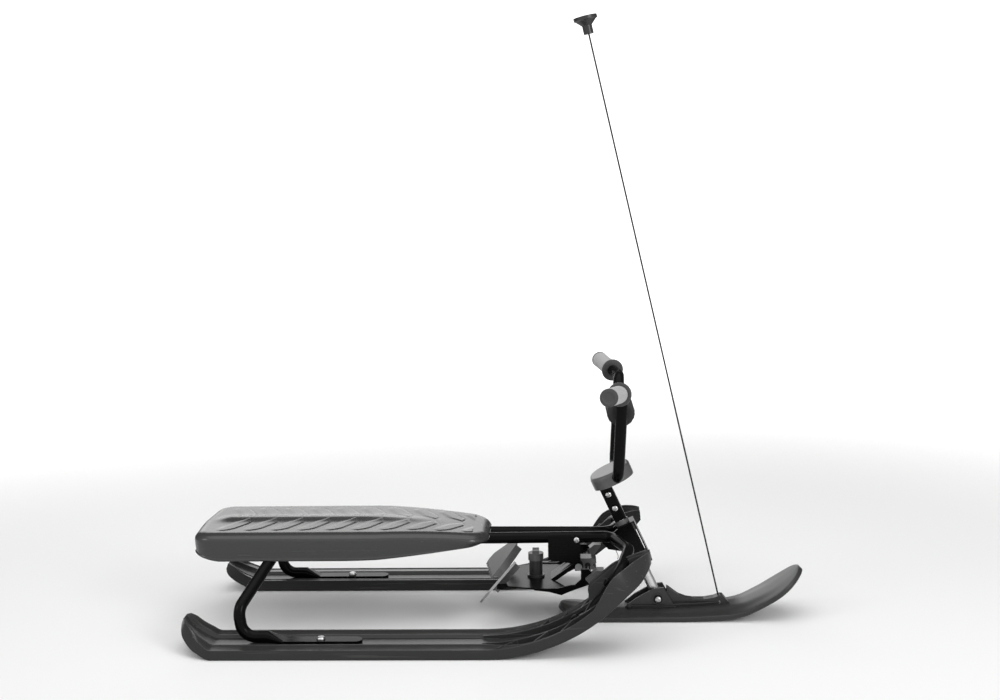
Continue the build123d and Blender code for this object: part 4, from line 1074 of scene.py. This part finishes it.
stud_tree, stud_inputs, stud_in, stud_out = piece_tree("studs_on_a_barrel", [
    ("Around", "NodeSocketInt"), ("Along", "NodeSocketInt"), ("Radius", FLOAT), ("Length", FLOAT),
    ("Stud", "NodeSocketVector"), ("Finish", "NodeSocketMaterial"),
])
net = stud_tree.nodes.new("GeometryNodeMeshCylinder")
net.fill_type = "NONE"
stud = stud_tree.nodes.new("GeometryNodeMeshIcoSphere")
stud.inputs["Radius"].default_value = 0.5
stud.inputs["Subdivisions"].default_value = 1
outward = stud_tree.nodes.new("GeometryNodeInputNormal")
turn_out = stud_tree.nodes.new("FunctionNodeAlignRotationToVector")
turn_out.axis = "Z"
spread_studs = stud_tree.nodes.new("GeometryNodeInstanceOnPoints")
solid_studs = stud_tree.nodes.new("GeometryNodeRealizeInstances")
stud_finish = stud_tree.nodes.new("GeometryNodeSetMaterial")
join_nodes(
    stud_tree,
    (stud_in.outputs["Around"], net.inputs["Vertices"]),
    (stud_in.outputs["Along"], net.inputs["Side Segments"]),
    (stud_in.outputs["Radius"], net.inputs["Radius"]),
    (stud_in.outputs["Length"], net.inputs["Depth"]),
    (outward.outputs["Normal"], turn_out.inputs["Vector"]),
    (net.outputs["Mesh"], spread_studs.inputs["Points"]),
    (stud.outputs["Mesh"], spread_studs.inputs["Instance"]),
    (turn_out.outputs["Rotation"], spread_studs.inputs["Rotation"]),
    (stud_in.outputs["Stud"], spread_studs.inputs["Scale"]),
    (spread_studs.outputs["Instances"], solid_studs.inputs["Geometry"]),
    (solid_studs.outputs["Geometry"], stud_finish.inputs["Geometry"]),
    (stud_in.outputs["Finish"], stud_finish.inputs["Material"]),
    (stud_finish.outputs["Geometry"], stud_out.inputs["Geometry"]),
)
print("stud tree inputs", list(stud_inputs))


# %% Run a node tree to a plain mesh
def run_tree(name, tree, values, place, start=None):
    """Evaluates a node tree once and returns its result as a plain object in place."""
    carrier = bpy.data.objects.new(name + "_carrier", start or bpy.data.meshes.new(name + "_carrier"))
    scene.collection.objects.link(carrier)
    modifier = carrier.modifiers.new("tree", "NODES")
    modifier.node_group = tree
    for identifier, value in values.items():
        modifier[identifier] = value
    depsgraph = bpy.context.evaluated_depsgraph_get()
    mesh = bpy.data.meshes.new_from_object(carrier.evaluated_get(depsgraph), depsgraph=depsgraph)
    bpy.data.objects.remove(carrier)
    mesh.transform(place)
    mesh.name = name
    lows = [min(vertex.co[axis] for vertex in mesh.vertices) for axis in range(3)]
    highs = [max(vertex.co[axis] for vertex in mesh.vertices) for axis in range(3)]
    print(name, "from", [round(low, 4) for low in lows], "to", [round(high, 4) for high in highs])
    result = bpy.data.objects.new(name, mesh)
    scene.collection.objects.link(result)
    return result


# %% Turn the grips
GRIP_BEND = Vector((0.238, -0.112, 0.461))
GRIP_END = Vector((0.205, -0.243, 0.4745))
GRIP_LONG = 0.100
GRIP_OVER = 0.004
# Columns: distance from the inner end, radius
barrel_rows = [
    (0.0055, 0.0112), (0.0055, 0.0150), (0.0062, 0.0157),
    (0.0945, 0.0157), (0.0952, 0.0150), (0.0952, 0.0112),
]
flange_rows = [
    (0.0, 0.0112), (0.0, 0.0205), (0.0006, 0.0218), (0.0018, 0.0223), (0.0040, 0.0223), (0.0054, 0.0218),
    (0.0062, 0.0200), (0.0066, 0.0170), (0.0066, 0.0112),
]
end_rows = [
    (0.0945, 0.0112), (0.0945, 0.0158), (0.0951, 0.0165),
    (0.0980, 0.0165), (0.0994, 0.0158), (0.1000, 0.0142),
    (0.1000, 0.0112), (0.0994, 0.0104), (0.0990, 0.0060), (0.0990, 0.0010),
]
GRIP_STEPS = 64
GRID_AROUND, GRID_ALONG = 34, 28
GRID_R = 0.0156
GRID_LONG = 0.084
GRID_MIDDLE = 0.0504
STUD_SIZE = (0.0019, 0.0019, 0.0016)
grip_parts = (
    ("barrel", barrel_rows, "grip_rubber"),
    ("flange", flange_rows, "grip_ring"),
    ("end", end_rows, "grip_ring"),
)
for side_name, side in SIDES.items():
    end = Vector((GRIP_END.x, side * GRIP_END.y, GRIP_END.z))
    bend = Vector((GRIP_BEND.x, side * GRIP_BEND.y, GRIP_BEND.z))
    way = (end - bend).normalized()
    root = end + way * (GRIP_OVER - GRIP_LONG)
    across = Vector((0.0, 0.0, 1.0))
    for part_name, rows, finish in grip_parts:
        points, faces = turned(rows, root, way, across, GRIP_STEPS)
        name = "grip_%s_%s" % (part_name, side_name)
        part = make_piece(name, points, faces, finish, "steering")
        if part_name == "barrel":
            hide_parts("grip_" + side_name)
    place = Matrix.Translation(root + way * GRID_MIDDLE) @ way.to_track_quat("Z", "Y").to_matrix().to_4x4()
    values = {
        stud_inputs["Around"]: GRID_AROUND, stud_inputs["Along"]: GRID_ALONG, stud_inputs["Radius"]: GRID_R,
        stud_inputs["Length"]: GRID_LONG, stud_inputs["Stud"]: STUD_SIZE,
        stud_inputs["Finish"]: finishes["grip_rubber"],
    }
    studs = run_tree("grip_grid_" + side_name, stud_tree, values, place)
    declare_piece(studs, "grip_rubber", "steering", 20.0)
    print("grip", side_name, "root", tuple(round(v, 4) for v in root), "studs", len(studs.data.polygons))

# %% [markdown]
# ## The screws
# The sled is held together by pan head screws with a cross recess, on thin washers. One
# head is shaped by a height map around its middle: a flat skirt, a dome, and two crossed
# slots sunk into it. A node tree then sets a copy on every marked spot, and turns each one
# along its bolt. The spots and their directions are points of a small mesh.

# %% Shape one screw head
HEAD_RINGS = 22
HEAD_STEPS = 64
HEAD_FOOT = -0.1
SLOT_HALF = 0.17
SLOT_REACH = 0.56


def head_height(across, up):
    """Height of a unit screw head at a point of its plan."""
    reach = math.hypot(across, up)
    dome = 0.5 * math.sqrt(max(0.0, 1.0 - (reach / 1.04) ** 2.4))
    arm = min(abs(across), abs(up))
    deep = soft_step((SLOT_HALF - arm) / 0.08) * soft_step((SLOT_REACH - reach) / 0.1)
    return max(0.08, dome - 0.34 * deep)


head_turns = [math.tau * k / HEAD_STEPS for k in range(HEAD_STEPS)]
head_points = [(math.cos(angle), math.sin(angle), HEAD_FOOT) for angle in head_turns]
for ring in range(HEAD_RINGS + 1):
    reach = 1.0 - ring / (HEAD_RINGS + 1)
    for angle in head_turns:
        across, up = reach * math.cos(angle), reach * math.sin(angle)
        head_points.append((across, up, head_height(across, up)))
head_mesh = bpy.data.meshes.new("screw_head")
head_mesh.from_pydata(head_points, [], skin_faces(HEAD_RINGS + 2, HEAD_STEPS))
close_and_turn(head_mesh)
screw_head = bpy.data.objects.new("screw_head", head_mesh)
print("screw head faces", len(head_mesh.polygons))

# %% Build the screw tree
screw_tree, screw_inputs, screw_in, screw_out = piece_tree(
    "screws_on_spots", [("Head", "NodeSocketObject"), ("Finish", "NodeSocketMaterial")]
)
head_source = screw_tree.nodes.new("GeometryNodeObjectInfo")
bolt_way = screw_tree.nodes.new("GeometryNodeInputNamedAttribute")
bolt_way.data_type = "FLOAT_VECTOR"
bolt_way.inputs["Name"].default_value = "way"
head_radius = screw_tree.nodes.new("GeometryNodeInputNamedAttribute")
head_radius.data_type = "FLOAT"
head_radius.inputs["Name"].default_value = "radius"
aim_screw = screw_tree.nodes.new("FunctionNodeAlignRotationToVector")
aim_screw.axis = "Z"
set_screws = screw_tree.nodes.new("GeometryNodeInstanceOnPoints")
real_screws = screw_tree.nodes.new("GeometryNodeRealizeInstances")
screw_finish = screw_tree.nodes.new("GeometryNodeSetMaterial")
join_nodes(
    screw_tree,
    (screw_in.outputs["Head"], head_source.inputs["Object"]),
    (bolt_way.outputs["Attribute"], aim_screw.inputs["Vector"]),
    (screw_in.outputs["Geometry"], set_screws.inputs["Points"]),
    (head_source.outputs["Geometry"], set_screws.inputs["Instance"]),
    (aim_screw.outputs["Rotation"], set_screws.inputs["Rotation"]),
    (head_radius.outputs["Attribute"], set_screws.inputs["Scale"]),
    (set_screws.outputs["Instances"], real_screws.inputs["Geometry"]),
    (real_screws.outputs["Geometry"], screw_finish.inputs["Geometry"]),
    (screw_in.outputs["Finish"], screw_finish.inputs["Material"]),
    (screw_finish.outputs["Geometry"], screw_out.inputs["Geometry"]),
)

# %% Set the screws
# Columns: piece, body, rows of (x, y, z, head radius). Each screw looks out to its own side
screw_rows = [
    ("screws_frame", "frame", [(0.1485, y, 0.1598, 0.0055) for y in (-0.0338, 0.0338)]),
    ("screws_column", "steering", [
        (x, y, z, radius) for y, radius in ((-0.0160, 0.0058), (0.0120, 0.0050))
        for x, z in ((0.2242, 0.2174), (0.2114, 0.2453))
    ]),
    ("screws_runner", "front_runner", [(0.307, y, 0.0365, 0.0062) for y in (-0.0250, 0.0250)]),
    ("screws_brake", "brake", [(0.1560, y, 0.1055, 0.0050) for y in (-0.0158, 0.0158)]),
]
scene.collection.objects.link(screw_head)
for name, body, rows in screw_rows:
    spots = bpy.data.meshes.new(name + "_spots")
    spots.from_pydata([row[:3] for row in rows], [], [])
    spots.attributes.new("way", "FLOAT_VECTOR", "POINT")
    spots.attributes.new("radius", "FLOAT", "POINT")
    for k, (_, y, _, radius) in enumerate(rows):
        spots.attributes["way"].data[k].vector = (0.0, math.copysign(1.0, y), 0.0)
        spots.attributes["radius"].data[k].value = radius
    values = {screw_inputs["Head"]: screw_head, screw_inputs["Finish"]: finishes["bright_steel"]}
    screws = run_tree(name, screw_tree, values, Matrix.Identity(4), spots)
    declare_piece(screws, "bright_steel", body, 40.0)
    print(name, len(screws.data.polygons))
bpy.data.objects.remove(screw_head)

# %% [markdown]
# ## The return spring's hook
# On the real sled a thin steel wire runs down towards the brake. Only its upper end is
# drawn, a ring and a short shank: one round wire, swept as a tube along its line. It
# stands free here, about 9 mm from the head bracket, and isn't joined to it.

# %% Bend the spring's hook
WIRE_R = 0.0009
WIRE_SIDES = 10
RING_R = 0.0062
ring_at = Vector((0.2309, -0.006, 0.1380))
sideways = Vector((0.0, 1.0, 0.0))
# The wire's line in side view: a ring, then a short shank with a bent foot
wire_line = [
    ring_at + RING_R * Vector((math.cos(math.radians(angle)), 0.0, math.sin(math.radians(angle))))
    for angle in range(110, -160, -15)
]
for x, z in ((0.2262, 0.1310), (0.2282, 0.1255), (0.2300, 0.1210), (0.2306, 0.1165), (0.2290, 0.1130)):
    wire_line.append(Vector((x, ring_at.y, z)))
wire_points = []
for k, spot in enumerate(wire_line):
    ahead = wire_line[min(k + 1, len(wire_line) - 1)] - wire_line[max(k - 1, 0)]
    flat = ahead.normalized().cross(sideways)
    for step in range(WIRE_SIDES):
        angle = math.tau * step / WIRE_SIDES
        wire_points.append(spot + (flat * math.cos(angle) + sideways * math.sin(angle)) * WIRE_R)
wire_faces = skin_faces(len(wire_line), WIRE_SIDES)
hook = make_piece("spring_hook", wire_points, wire_faces, "bright_steel", "frame", 60.0)
print("spring hook faces", len(hook.data.polygons))
